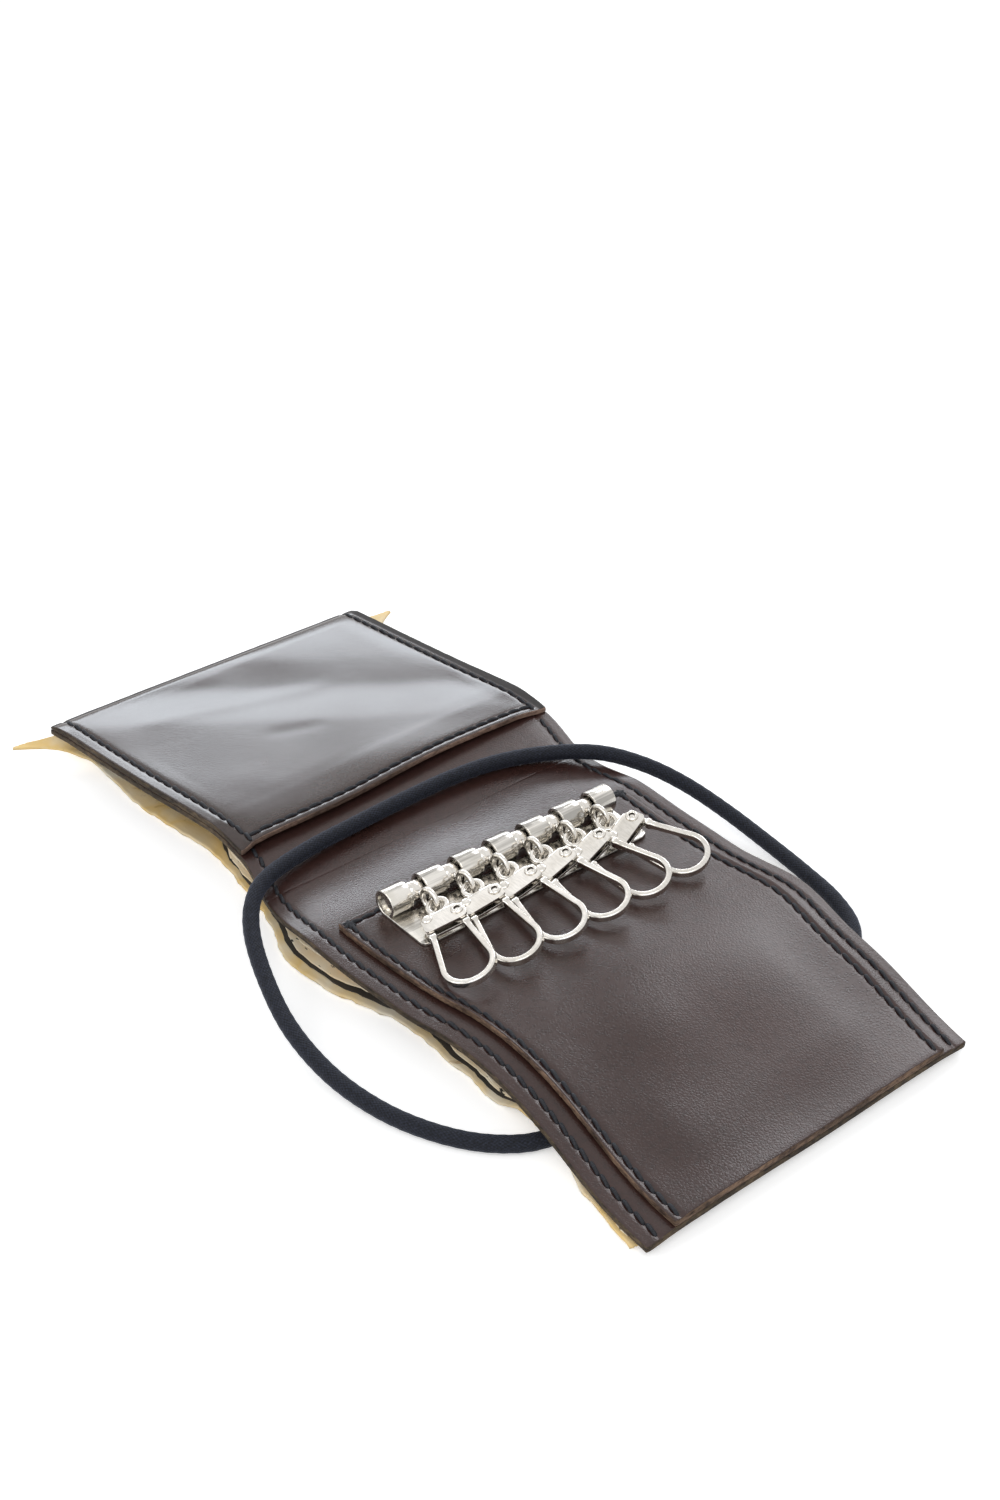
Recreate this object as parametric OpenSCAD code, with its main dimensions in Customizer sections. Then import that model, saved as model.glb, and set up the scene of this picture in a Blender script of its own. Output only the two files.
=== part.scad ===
// Key case, lying open on a table: a stitched leather liner in a thin cover, with a metal rack of
// six snap hooks on the near panel, a flat pocket on the far panel and a round elastic band.
// X runs along the folds, +Y towards the pocket end, Z up. The origin is on the table, under the
// middle of the case.

/* [Case] */
// Width of the leather liner along the folds
case_w = 78; // [76:1:90]
// Length of the near panel, which carries the hooks
near_len = 91; // [88:1:100]
// Width of the spine between the two folds
spine_w = 23; // [22:1:28]
// Length of the far panel, which carries the pocket
far_len = 68; // [64:1:72]
// Thickness of the liner leather
leather_t = 1.3; // [1:0.1:1.5]

/* [Rise of the open case] */
// Height of the liner's upper face at the near end
near_end_h = 3; // [2.9:0.1:3.6]
// Height of the liner's upper face beyond the hooks
crest_h = 9.2; // [9:0.1:10]
// Height of the liner's upper face under the rack
rack_h = 9; // [8.8:0.1:10]
// Height of the liner's upper face in the spine
valley_h = 8.2; // [7.8:0.1:9]
// Height of the liner's upper face past the pocket mouth
mouth_h = 10.4; // [9.6:0.1:12]
// Height of the liner's upper face at the far end
far_end_h = 8; // [7.8:0.1:9]

/* [Key patch and pocket] */
// Width of the leather patch under the hooks
patch_w = 66; // [62:1:70]
// Thickness of the leather patch under the hooks
patch_t = 1.3; // [1:0.1:1.6]
// Distance from the near fold to the patch
patch_back = 3.2; // [2.9:0.1:3.4]
// Distance from the far fold to the pocket mouth
mouth_back = 4; // [4:0.5:7]
// Thickness of the pocket leather
pocket_t = 1.2; // [1:0.1:1.5]
// Height of the gap at the pocket mouth
mouth_gap = 0.7; // [0.4:0.1:1]
// Distance from the pocket mouth to where the pocket leather lies flat
mouth_ease = 12; // [9:1:18]

/* [Cover and inner sheets] */
// Width of the cover under the liner
cover_w = 74; // [70:1:76]
// Thickness of the cover
cover_t = 0.9; // [0.7:0.1:1]
// Height by which the cover's far end curls off the table
curl_h = 4.4; // [3:0.2:4.8]
// Width of the loose inner sheets
sheet_w = 73; // [68:1:75]
// Thickness of one inner sheet
sheet_t = 0.3; // [0.2:0.05:0.4]

/* [Stitching] */
// Distance between stitches
stitch_pitch = 3; // [2.6:0.1:4]
// Length of thread that shows in one stitch
stitch_l = 2.3; // [1.8:0.1:2.5]
// Width of the thread
thread_w = 0.7; // [0.5:0.1:0.9]
// Height of the thread on the leather
thread_h = 0.4; // [0.3:0.05:0.45]
// Distance from the liner's side edge to its seam
side_inset = 3; // [2:0.5:3.5]
// Distance from the edge of the patch or the pocket to its seam
hem_inset = 1.5; // [1.4:0.1:1.6]

/* [Rack] */
// Distance from the near fold to the barrel's axis
rack_back = 7; // [6.9:0.1:7.2]
// Outer diameter of the rolled barrel
barrel_d = 5.5; // [5.3:0.1:5.6]
// Width of one barrel knuckle
knuckle_w = 4.8; // [4.4:0.1:5]
// Gap between two knuckles, in which a hook turns
knuckle_gap = 3.4; // [3.2:0.1:3.8]
// Thickness of the rack's sheet metal
rack_t = 0.7; // [0.6:0.05:0.8]
// Distance from the barrel's axis to the plate's front edge
plate_depth = 12; // [11:0.5:13]
// Diameter of the rod inside the barrel
rod_d = 2; // [1.8:0.1:2.2]
// Diameter of a rack rivet's head
rivet_head_d = 5.4; // [4.6:0.2:6]
// Height of a rack rivet's head
rivet_head_h = 1; // [0.7:0.1:1.2]
// Diameter of a rack rivet's shank
rivet_d = 2.4; // [2:0.1:2.8]

/* [Hook links] */
// Outer diameter of the sleeve on the rod
sleeve_d = 3.8; // [3.4:0.1:3.8]
// Distance from the rod to the middle of the link's eye
link_reach = 5.2; // [5.1:0.1:5.6]
// Outer diameter of the link's eye
eye_d = 5.4; // [5.2:0.1:5.6]
// Width of metal round the link's eye
eye_band = 1.1; // [1:0.1:1.2]
// Thickness of the link's eye
eye_t = 1; // [0.8:0.1:1.1]

/* [Hook heads] */
// Outer diameter of the ring that hangs in the link's eye
ring_d = 4.6; // [4.5:0.1:4.8]
// Width of metal round that ring
ring_band = 1; // [0.9:0.1:1.1]
// Thickness of that ring
ring_t = 0.9; // [0.8:0.05:0.95]
// Distance from the ring's middle to the middle of the head
head_reach = 3.9; // [3.8:0.1:4.2]
// Width of the folded head
head_w = 8.2; // [8:0.1:8.6]
// Length of the folded head
head_l = 4.6; // [4.2:0.1:4.8]
// Thickness of the head across both of its cheeks
head_t = 2; // [1.9:0.1:2.1]
// Thickness of one cheek
cheek_t = 0.5; // [0.4:0.05:0.55]
// Distance from the head's middle to each of its two pins
pin_x = 2.8; // [2.7:0.1:3]
// Diameter of the hollow pin on which the loop opens
pivot_d = 1.5; // [1.3:0.1:1.6]
// Diameter of the catch pin
catch_d = 1.2; // [1:0.1:1.3]

/* [Hook loops] */
// Distance from the loop's middle line to the centre of its wire at the head
loop_top = 3.3; // [3.2:0.1:3.4]
// Radius of the loop's round end, to the centre of its wire
loop_r = 4.5; // [4.2:0.1:4.6]
// Distance from the head's middle to the centre of the round end
loop_l = 12.9; // [12:0.1:14]
// Width of the loop's wire
wire_w = 1.1; // [0.9:0.1:1.2]
// Height of the loop's wire
wire_h = 1.5; // [1.3:0.1:1.6]
// Thickness of the flat ends that enter the head
tab_t = 0.8; // [0.7:0.05:0.85]

/* [How the hooks lie] */
// Sideways turn of the middle of the row of hooks, in degrees
fan_middle = -1.75; // [-3:0.25:3]
// Sideways turn from one hook to the next, in degrees
fan_step = 7; // [6.8:0.1:7.5]
// Tilt of each hook, right side up, in degrees
hook_roll = 18; // [16:1:20]
// Dip of each hook towards its tip, in degrees
hook_dip = 1.6; // [1:0.1:1.8]

/* [Elastic band] */
// Diameter of the round elastic
band_d = 3.2; // [2.6:0.1:3.2]
// Distance from the near fold to the band's keeper
keeper_back = 62; // [61:0.5:63]
// Width of the keeper along the fold
keeper_w = 22; // [18:1:24]
// Length of the keeper across the fold
keeper_l = 9; // [8:0.5:10]

/* [Hidden] */
$fn = 48;

// Clearances, the overrun of every cut, and the spacing of the bends in the soft layers
overrun = 0.5;
pin_fit = 0.05;
slide_fit = 0.2;
rest_gap = 0.05;
bend_step = 3;
tiny = 0.001;
hooks = 6;

// The row of hooks along X
hook_pitch = knuckle_w + knuckle_gap;
barrel_l = (hooks + 1) * knuckle_w + hooks * knuckle_gap;

// Places along Y
total_len = near_len + spine_w + far_len;
y_near = -total_len / 2;
y_fold = y_near + near_len;
y_fold2 = y_fold + spine_w;
y_far = total_len / 2;
y_patch = y_fold - patch_back;
y_mouth = y_fold2 + mouth_back;
y_barrel = y_fold - rack_back;
y_plate = y_barrel - plate_depth;
y_keeper = y_fold - keeper_back;

// Where the liner's upper face reaches its named heights
crest_share = 0.52;
valley_share = 0.45;
mouth_crest_share = 0.2;
rack_margin = 3;
LIFT = [
    [y_near, near_end_h],
    [y_near + near_len * crest_share, crest_h],
    [y_plate - rack_margin, rack_h],
    [y_patch, rack_h],
    [y_fold + spine_w * valley_share, valley_h],
    [y_fold2 + far_len * mouth_crest_share, mouth_h],
    [y_far, far_end_h]
];

// Where the cover's under face leaves the table: over the band, and at its curled far end
arch_margin = bend_step;
arch_h = band_d + 2 * rest_gap + slide_fit;
arch_flat = keeper_l / 2 + arch_margin;
arch_ramp_share = 0.8;
arch_ramp = keeper_l * arch_ramp_share;
curl_share = 0.55;
BASE = [
    [y_near, 0],
    [y_keeper - arch_flat - arch_ramp, 0],
    [y_keeper - arch_flat, arch_h],
    [y_keeper + arch_flat, arch_h],
    [y_keeper + arch_flat + arch_ramp, 0],
    [y_fold2 + far_len * curl_share, 0],
    [y_far, curl_h]
];

// How far the inner sheets fan apart, from 0 to 1
fan_start_share = 0.45;
fan_full_share = 0.75;
fan_end_share = 0.05;
FAN = [
    [y_near + near_len * fan_start_share, 0],
    [y_near + near_len * fan_full_share, 1],
    [y_fold2, 1],
    [y_far, fan_end_share]
];
sheet_count = 2;

function smooth(t) = t * t * (3 - 2 * t);
function ease(a, b, t) = a + (b - a) * smooth(min(max(t, 0), 1));
function follow(s, y, k = 0) = k > len(s) - 3 || y <= s[k + 1][0]
    ? ease(s[k][1], s[k + 1][1], (y - s[k][0]) / (s[k + 1][0] - s[k][0]))
    : follow(s, y, k + 1);
// The same heights, straight between bends, so that neighbouring layers keep their distance
function bent(s, y) = let (k = floor(y / bend_step), t = y / bend_step - k)
    follow(s, k * bend_step) * (1 - t) + follow(s, (k + 1) * bend_step) * t;
function top_z(y) = bent(LIFT, y);
function stations(y0, y1) = concat([y0],
    [for (k = [ceil((y0 + tiny) / bend_step) : floor((y1 - tiny) / bend_step)]) k * bend_step], [y1]);

liner_top = function (y) top_z(y);
liner_under = function (y) top_z(y) - leather_t;
patch_top = function (y) top_z(y) + patch_t;
mouth_lift = function (y) mouth_gap * (1 - smooth(min(max((y - y_mouth) / mouth_ease, 0), 1)));
pocket_under = function (y) top_z(y) + mouth_lift(y);
pocket_top = function (y) pocket_under(y) + pocket_t;
cover_under = function (y) bent(BASE, y);
cover_top = function (y) bent(BASE, y) + cover_t;
function sheet_room(y) = liner_under(y) - cover_top(y) - sheet_count * (sheet_t + rest_gap);
function sheet_top(y, k) = liner_under(y) - rest_gap - (k - 1) * (sheet_t + rest_gap)
    - max(sheet_room(y), 0) * follow(FAN, y) * k / (sheet_count + 1);

leather_colour = "#3b2b25";
thread_colour = "#15161a";
cover_colour = "#d9c08a";
sheet_colour = "#e8dec6";
metal_colour = "#c8c6c0";
elastic_colour = "#15171d";

// A soft layer between two heights, as wide as w along X
module layer(y0, y1, w, under, over) {
    ys = stations(y0, y1);
    last = len(ys) - 1;
    rotate([90, 0, 90])
        linear_extrude(w, center = true)
            polygon(concat(
                [for (k = [0 : last]) [ys[k], over(ys[k])]],
                [for (k = [last : -1 : 0]) [ys[k], under(ys[k])]]));
}

// Round hole down through the layers under the rack
module rivet_hole(x, d) {
    translate([x, y_rivet, rack_h - leather_t - overrun])
        cylinder(d = d, h = leather_t + patch_t + rack_t + 2 * overrun);
}

// Liner, patch, pocket, sheets and cover
module liner_near() {
    color(leather_colour) difference() {
        layer(y_near, y_fold, case_w, liner_under, liner_top);
        for (x = rivet_xs) rivet_hole(x, rivet_d + 2 * pin_fit);
    }
}

module liner_spine() {
    color(leather_colour) layer(y_fold, y_fold2, case_w, liner_under, liner_top);
}

module liner_far() {
    color(leather_colour) layer(y_fold2, y_far, case_w, liner_under, liner_top);
}

module key_patch() {
    color(leather_colour) difference() {
        layer(y_near, y_patch, patch_w, liner_top, patch_top);
        for (x = rivet_xs) rivet_hole(x, rivet_d + 2 * pin_fit);
    }
}

module pocket_patch() {
    color(leather_colour) layer(y_mouth, y_far, case_w, pocket_under, pocket_top);
}

module sheets(y0, y1) {
    color(sheet_colour)
        for (k = [1 : sheet_count])
            layer(y0, y1, sheet_w, function (y) sheet_top(y, k) - sheet_t, function (y) sheet_top(y, k));
}

module cover(y0, y1) {
    color(cover_colour) layer(y0, y1, cover_w, cover_under, cover_top);
}

// Stitches: a row runs along Y at one x, or along X at one y, on a face given by its height
stitch_slant = 9;
fold_keep = 1;

module stitch(x, y, face, turn) {
    back = face(y + stitch_l / 2);
    front = face(y - stitch_l / 2);
    translate([x, y, max((back + front) / 2, face(y)) + rest_gap])
        rotate([atan((back - front) / stitch_l), 0, 0])
            rotate([0, 0, turn + stitch_slant])
                translate([-thread_w / 2, -stitch_l / 2, 0])
                    cube([thread_w, stitch_l, thread_h]);
}

module row_along_y(x, y0, y1, face) {
    n = max(floor((y1 - y0) / stitch_pitch), 1);
    pitch = (y1 - y0) / n;
    for (k = [0 : n - 1])
        stitch(x, y0 + (k + 1 / 2) * pitch, face, 0);
}

module row_along_x(x0, x1, y, face) {
    n = max(floor((x1 - x0) / stitch_pitch), 1);
    pitch = (x1 - x0) / n;
    for (k = [0 : n - 1])
        stitch(x0 + (k + 1 / 2) * pitch, y, face, 90);
}

side_x = case_w / 2 - side_inset;
patch_x = patch_w / 2 - hem_inset;

module thread_near() {
    color(thread_colour)
        for (side = [-1, 1]) row_along_y(side * side_x, y_near + fold_keep, y_fold - fold_keep, liner_top);
}

module thread_patch() {
    color(thread_colour) {
        for (side = [-1, 1])
            row_along_y(side * patch_x, y_near + 2 * hem_inset, y_patch - hem_inset - thread_w, patch_top);
        row_along_x(-patch_x, patch_x, y_patch - hem_inset, patch_top);
        row_along_x(-patch_x + thread_w, patch_x - thread_w, y_near + hem_inset, patch_top);
    }
}

module thread_spine() {
    color(thread_colour)
        for (side = [-1, 1]) row_along_y(side * side_x, y_fold + fold_keep, y_fold2 - fold_keep, liner_top);
}

module thread_far() {
    color(thread_colour) {
        for (side = [-1, 1]) {
            row_along_y(side * side_x, y_fold2 + fold_keep, y_mouth - fold_keep / 2, liner_top);
            row_along_y(side * side_x, y_mouth + 2 * hem_inset, y_far - 2 * hem_inset, pocket_top);
        }
        row_along_x(-side_x, side_x, y_mouth + hem_inset, pocket_top);
    }
}

// Rack: a plate whose back edge is rolled into a row of knuckles round one rod
z_plate = rack_h + patch_t;
z_barrel = z_plate + barrel_d / 2;
rivet_xs = [-hook_pitch, hook_pitch];
y_rivet = y_barrel - plate_depth * 0.62;

module along_x(x, y, z) {
    translate([x, y, z]) rotate([0, 90, 0]) children();
}

module rack_plate() {
    color(metal_colour) difference() {
        union() {
            translate([-barrel_l / 2, y_plate, z_plate])
                cube([barrel_l, plate_depth, rack_t]);
            for (k = [0 : hooks])
                along_x(-barrel_l / 2 + k * hook_pitch, y_barrel, z_barrel)
                    cylinder(d = barrel_d, h = knuckle_w);
        }
        along_x(-barrel_l / 2 - overrun, y_barrel, z_barrel)
            cylinder(d = barrel_d - 2 * rack_t, h = barrel_l + 2 * overrun);
        for (x = rivet_xs) rivet_hole(x, rivet_d + 2 * pin_fit);
    }
}

module rack_rod() {
    disc_d = barrel_d - 2 * rack_t - 2 * pin_fit;
    disc_w = knuckle_w / 3;
    color(metal_colour) union() {
        along_x(-barrel_l / 2 + disc_w / 2, y_barrel, z_barrel)
            cylinder(d = rod_d, h = barrel_l - disc_w);
        for (x = [-barrel_l / 2 + disc_w / 2, barrel_l / 2 - disc_w * 3 / 2])
            along_x(x, y_barrel, z_barrel)
                cylinder(d = disc_d, h = disc_w);
    }
}

// Rivet with a low dome on the plate and a shank that ends in the cap under the liner
module rack_rivets() {
    dome_r = (pow(rivet_head_d / 2, 2) + pow(rivet_head_h, 2)) / (2 * rivet_head_h);
    z_head = z_plate + rack_t;
    z_foot = rack_h - leather_t - cap_h / 2;
    color(metal_colour)
        for (x = rivet_xs) translate([x, y_rivet, 0]) union() {
            translate([0, 0, z_head]) rotate_extrude()
                intersection() {
                    translate([0, rivet_head_h - dome_r]) circle(r = dome_r, $fn = 96);
                    square([rivet_head_d, rivet_head_h]);
                }
            translate([0, 0, z_foot]) cylinder(d = rivet_d, h = z_head - z_foot + rivet_head_h / 2);
        }
}

cap_h = 0.8;
cap_share = 0.85;

module rivet_caps() {
    color(metal_colour)
        for (x = rivet_xs) translate([x, y_rivet, rack_h - leather_t - cap_h]) difference() {
            cylinder(d = rivet_head_d * cap_share, h = cap_h);
            translate([0, 0, cap_h / 2]) cylinder(d = rivet_d + 2 * pin_fit, h = cap_h);
        }
}

// Links: a sleeve on the rod with an upright eye
function hook_x(i) = (i - (hooks + 1) / 2) * hook_pitch;
function hook_yaw(i) = fan_middle + (i - (hooks + 1) / 2) * fan_step;
z_eye = z_plate + rack_t + slide_fit + eye_d / 2;
link_rise = asin((z_eye - z_barrel) / link_reach);
y_eye = y_barrel - link_reach * cos(link_rise);
eye_r = eye_d / 2 - eye_band / 2;

module hook_link(i) {
    sleeve_w = knuckle_gap - 2 * slide_fit;
    color(metal_colour) translate([hook_x(i), y_barrel, z_barrel]) difference() {
        union() {
            along_x(-sleeve_w / 2, 0, 0) cylinder(d = sleeve_d, h = sleeve_w);
            rotate([-link_rise, 0, 0]) {
                along_x(-eye_t / 2, -link_reach, 0) cylinder(d = eye_d, h = eye_t);
                translate([-eye_t / 2, -link_reach + eye_r, -sleeve_d / 4])
                    cube([eye_t, link_reach - eye_r, sleeve_d / 2]);
            }
        }
        rotate([-link_rise, 0, 0])
            along_x(-eye_t / 2 - overrun, -link_reach, 0)
                cylinder(d = eye_d - 2 * eye_band, h = eye_t + 2 * overrun);
        along_x(-sleeve_w / 2 - overrun, 0, 0) cylinder(d = rod_d + 2 * pin_fit, h = sleeve_w + 2 * overrun);
    }
}

// Frame of a hook: its ring's middle is the origin, its tip points along -Y, its right side is +X
module in_hook(i) {
    translate([hook_x(i), y_eye - eye_r, z_eye])
        rotate([0, 0, hook_yaw(i)])
            rotate([hook_dip, 0, 0])
                rotate([0, -hook_roll, 0])
                    children();
}

// Heads: two cheeks folded at the back, where the ring is; the loop's ends sit between them
head_corner = 0.8;
head_back = 2.4;
web_l = 0.6;

module head_outline() {
    back = -head_reach + head_l / 2;
    front = -head_reach - head_l / 2;
    polygon([
        [-head_back, back], [head_back, back],
        [head_w / 2, back - head_corner * 2], [head_w / 2, front + head_corner],
        [head_w / 2 - head_corner, front], [-head_w / 2 + head_corner, front],
        [-head_w / 2, front + head_corner], [-head_w / 2, back - head_corner * 2]
    ]);
}

module hook_head(i) {
    back = -head_reach + head_l / 2;
    color(metal_colour) in_hook(i) difference() {
        union() {
            for (z = [-head_t / 2, head_t / 2 - cheek_t])
                translate([0, 0, z]) linear_extrude(cheek_t) head_outline();
            translate([-head_back, back - web_l, -head_t / 2]) cube([2 * head_back, web_l, head_t]);
            translate([0, 0, -ring_t / 2]) cylinder(d = ring_d, h = ring_t);
        }
        translate([0, 0, -ring_t / 2 - overrun]) cylinder(d = ring_d - 2 * ring_band, h = ring_t + 2 * overrun);
        translate([pin_x, -head_reach, -head_t / 2 - overrun])
            cylinder(d = pivot_d + 2 * pin_fit, h = head_t + 2 * overrun);
        translate([-pin_x, catch_y, -head_t / 2 - overrun])
            cylinder(d = catch_d + 2 * pin_fit, h = head_t + 2 * overrun);
    }
}

// Pins: a hollow rivet that the loop turns on, and a solid catch pin
flange_h = 0.3;
flange_share = 1.7;
catch_y = -head_reach + head_l * 0.2;

module flanged_pin(d, bore) {
    reach = head_t / 2 + flange_h;
    difference() {
        union() {
            translate([0, 0, -reach]) cylinder(d = d, h = 2 * reach);
            for (z = [-reach, head_t / 2]) translate([0, 0, z]) cylinder(d = d * flange_share, h = flange_h);
        }
        if (bore > 0)
            translate([0, 0, -reach - overrun]) cylinder(d = bore, h = 2 * (reach + overrun));
    }
}

module hook_pins(i) {
    color(metal_colour) in_hook(i) {
        translate([pin_x, -head_reach, 0]) flanged_pin(pivot_d, pivot_d * 0.6);
        translate([-pin_x, catch_y, 0]) flanged_pin(catch_d, 0);
    }
}

// Loops: a flat bar bent to a pear, with one pierced end on the pivot and one free end
loop_flare = asin((loop_r - loop_top) / (loop_l - head_l / 2));
tab_w = 1.5;
collar_l = 0.9;
collar_share = 1.1;
pivot_clear = 0.3;
eye_wall = 0.75;

module pear(half_top, r, y_top) {
    polygon([
        [-half_top, y_top], [half_top, y_top],
        [r * cos(loop_flare), -loop_l + r * sin(loop_flare)],
        [-r * cos(loop_flare), -loop_l + r * sin(loop_flare)]
    ]);
    translate([0, -loop_l]) circle(r = r, $fn = 96);
}

module hook_loop(i) {
    y_top = -norm([head_w / 2 - pin_x, head_l / 2]) - pivot_clear;
    eye_out = pivot_d + 2 * (pin_fit + eye_wall);
    color(metal_colour) in_hook(i) translate([0, -head_reach, 0]) difference() {
        union() {
            translate([0, 0, -wire_h / 2]) linear_extrude(wire_h) difference() {
                pear(loop_top + wire_w / 2, loop_r + wire_w / 2, y_top);
                pear(loop_top - wire_w / 2, loop_r - wire_w / 2, y_top + overrun);
            }
            for (side = [-1, 1])
                translate([side * loop_top - tab_w / 2, y_top - collar_l, -wire_h * collar_share / 2])
                    cube([tab_w, collar_l, wire_h * collar_share]);
            translate([0, 0, -tab_t / 2]) linear_extrude(tab_t) {
                translate([pin_x, 0]) circle(d = eye_out);
                translate([loop_top - tab_w / 2, y_top - collar_l / 2]) square([tab_w, -y_top + collar_l / 2]);
                translate([-loop_top - tab_w / 2, y_top - collar_l / 2])
                    square([tab_w, -y_top + collar_l / 2 - tab_w / 2]);
            }
        }
        translate([pin_x, 0, -wire_h]) cylinder(d = pivot_d + 2 * pin_fit, h = 2 * wire_h);
    }
}

// Elastic band: one loop whose two ends are held in the keeper under the near panel. Its route is
// a list of places on the way from the keeper's left face, over the spine, to its right face.
band_z = band_d / 2 + rest_gap;
band_run = 7;
ROUTE = [
    [-27, -62.2, 1.65], [-36, -62, 1.65], [-43, -57.5, 1.65],
    [-48.5, -50, 1.7], [-52.5, -40, 1.9], [-54.3, -28, 2.4], [-53.6, -15, 3.7], [-50.6, -3, 5.8],
    [-46.6, 7, 8.1], [-42, 13, 10], [-36, 16.4, 10.65], [-26, 18.6, 10.65], [-14, 19.6, 10.6],
    [-2, 20.2, 10.65], [10, 20.3, 10.65], [21, 18.8, 10.6], [31, 14.8, 10.5], [39, 8.8, 10.3],
    [45, 2, 8.5], [49, -6, 6.2], [50.9, -16, 4.1], [51.2, -27, 2.6], [50.4, -38, 1.9],
    [48.6, -48, 1.7], [44.4, -56.6, 1.65], [37, -61.2, 1.65], [27, -62, 1.65]
];
BAND = concat(
    [[-keeper_w / 2, y_keeper, band_z], [-keeper_w / 2 - band_run, y_keeper, band_z]],
    ROUTE,
    [[keeper_w / 2 + band_run, y_keeper, band_z], [keeper_w / 2, y_keeper, band_z]]);
band_sides = 8;

function spline(p, q, r, s, t) =
    q + ((r - p) * t + (2 * p - 5 * q + 4 * r - s) * t * t + (3 * q - p - 3 * r + s) * t * t * t) / 2;
function band_path() = let (n = len(BAND)) concat(
    [for (k = [0 : n - 2], t = [0, 0.5])
        spline(BAND[max(k - 1, 0)], BAND[k], BAND[k + 1], BAND[min(k + 2, n - 1)], t)],
    [BAND[n - 1]]);
function unit(v) = v / norm(v);

module elastic_band() {
    path = band_path();
    n = len(path);
    ways = [for (k = [0 : n - 1]) unit(path[min(k + 1, n - 1)] - path[max(k - 1, 0)])];
    rings = [for (k = [0 : n - 1]) let (side = unit(cross(ways[k], [0, 0, 1])), up = cross(side, ways[k]))
        [for (j = [0 : band_sides - 1]) let (a = 360 * j / band_sides)
            path[k] + band_d / 2 * (cos(a) * up + sin(a) * side)]];
    points = [for (ring = rings, p = ring) p];
    walls = [for (k = [0 : n - 2], j = [0 : band_sides - 1])
        let (a = k * band_sides + j, b = k * band_sides + (j + 1) % band_sides,
            c = a + band_sides, d = b + band_sides)
        each [[a, c, b], [b, c, d]]];
    start = [[for (j = [0 : band_sides - 1]) j]];
    finish = [[for (j = [band_sides - 1 : -1 : 0]) (n - 1) * band_sides + j]];
    color(elastic_colour) polyhedron(points, concat(walls, start, finish));
}

// Keeper: a leather tab sewn under the near panel, in which the band's two ends meet
module elastic_keeper() {
    color(leather_colour)
        translate([-keeper_w / 2, y_keeper - keeper_l / 2, rest_gap])
            cube([keeper_w, keeper_l, arch_h - rest_gap]);
}

liner_near();
liner_spine();
liner_far();
key_patch();
pocket_patch();
sheets(y_near + near_len * fan_start_share, y_fold);  // sheets_near
sheets(y_fold, y_fold2);  // sheets_spine
sheets(y_fold2, y_far);  // sheets_far
cover(y_near, y_fold);  // cover_near
cover(y_fold, y_fold2);  // cover_spine
cover(y_fold2, y_far);  // cover_far
thread_near();
thread_patch();
thread_spine();
thread_far();
rack_plate();
rack_rod();
rack_rivets();
rivet_caps();
elastic_keeper();
elastic_band();
hook_link(1);  // hook_link_1
hook_link(2);  // hook_link_2
hook_link(3);  // hook_link_3
hook_link(4);  // hook_link_4
hook_link(5);  // hook_link_5
hook_link(6);  // hook_link_6
hook_head(1);  // hook_head_1
hook_head(2);  // hook_head_2
hook_head(3);  // hook_head_3
hook_head(4);  // hook_head_4
hook_head(5);  // hook_head_5
hook_head(6);  // hook_head_6
hook_pins(1);  // hook_pins_1
hook_pins(2);  // hook_pins_2
hook_pins(3);  // hook_pins_3
hook_pins(4);  // hook_pins_4
hook_pins(5);  // hook_pins_5
hook_pins(6);  // hook_pins_6
hook_loop(1);  // hook_loop_1
hook_loop(2);  // hook_loop_2
hook_loop(3);  // hook_loop_3
hook_loop(4);  // hook_loop_4
hook_loop(5);  // hook_loop_5
hook_loop(6);  // hook_loop_6
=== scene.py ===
import math
import random

import bpy
from mathutils import Matrix, Vector, noise


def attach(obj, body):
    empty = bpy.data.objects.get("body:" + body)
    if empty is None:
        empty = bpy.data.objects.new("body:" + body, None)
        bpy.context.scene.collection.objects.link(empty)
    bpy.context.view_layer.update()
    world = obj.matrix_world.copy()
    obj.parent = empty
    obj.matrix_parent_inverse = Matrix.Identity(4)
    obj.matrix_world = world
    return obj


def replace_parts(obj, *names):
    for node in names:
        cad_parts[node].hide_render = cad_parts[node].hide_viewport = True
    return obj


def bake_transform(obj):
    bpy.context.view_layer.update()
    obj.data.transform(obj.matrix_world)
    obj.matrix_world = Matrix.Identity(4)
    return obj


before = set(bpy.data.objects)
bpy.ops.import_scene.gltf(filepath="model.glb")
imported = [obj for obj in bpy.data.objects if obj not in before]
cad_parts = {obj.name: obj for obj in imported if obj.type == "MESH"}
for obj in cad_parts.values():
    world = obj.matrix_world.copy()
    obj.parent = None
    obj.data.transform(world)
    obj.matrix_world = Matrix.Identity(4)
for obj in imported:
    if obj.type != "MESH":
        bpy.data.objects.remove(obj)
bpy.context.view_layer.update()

MM = 0.001
TAU = 2 * math.pi

# Sizes in millimetres, as in the CAD source. The near fold is at y = 0 and the far one at y = 23.
CASE_HALF, PATCH_HALF, COVER_HALF = 39.0, 33.0, 37
Y_NEAR, Y_FAR = -91.0, 91.0
Y_PATCH, Y_MOUTH = -3.2, 27.0
LEATHER_T, PATCH_T, POCKET_T, COVER_T = 1.3, 1.3, 1.2, 0.9
Y_BARREL, Z_PLATE, BARREL_R, RACK_T = -7.0, 10.3, 2.75, 0.7
Z_BARREL = Z_PLATE + BARREL_R
KNUCKLE_W, KNUCKLE_GAP, PLATE_DEPTH = 4.8, 3.4, 12.0
PITCH = KNUCKLE_W + KNUCKLE_GAP
Z_EYE, LINK_REACH, EYE_R = 13.9, 5.2, 2.15
LINK_RISE = math.asin((Z_EYE - Z_BARREL) / LINK_REACH)
Y_EYE = Y_BARREL - LINK_REACH * math.cos(LINK_RISE)
HEAD_REACH, HEAD_W, HEAD_L, PIN_X = 3.9, 8.2, 4.6, 2.8
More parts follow.
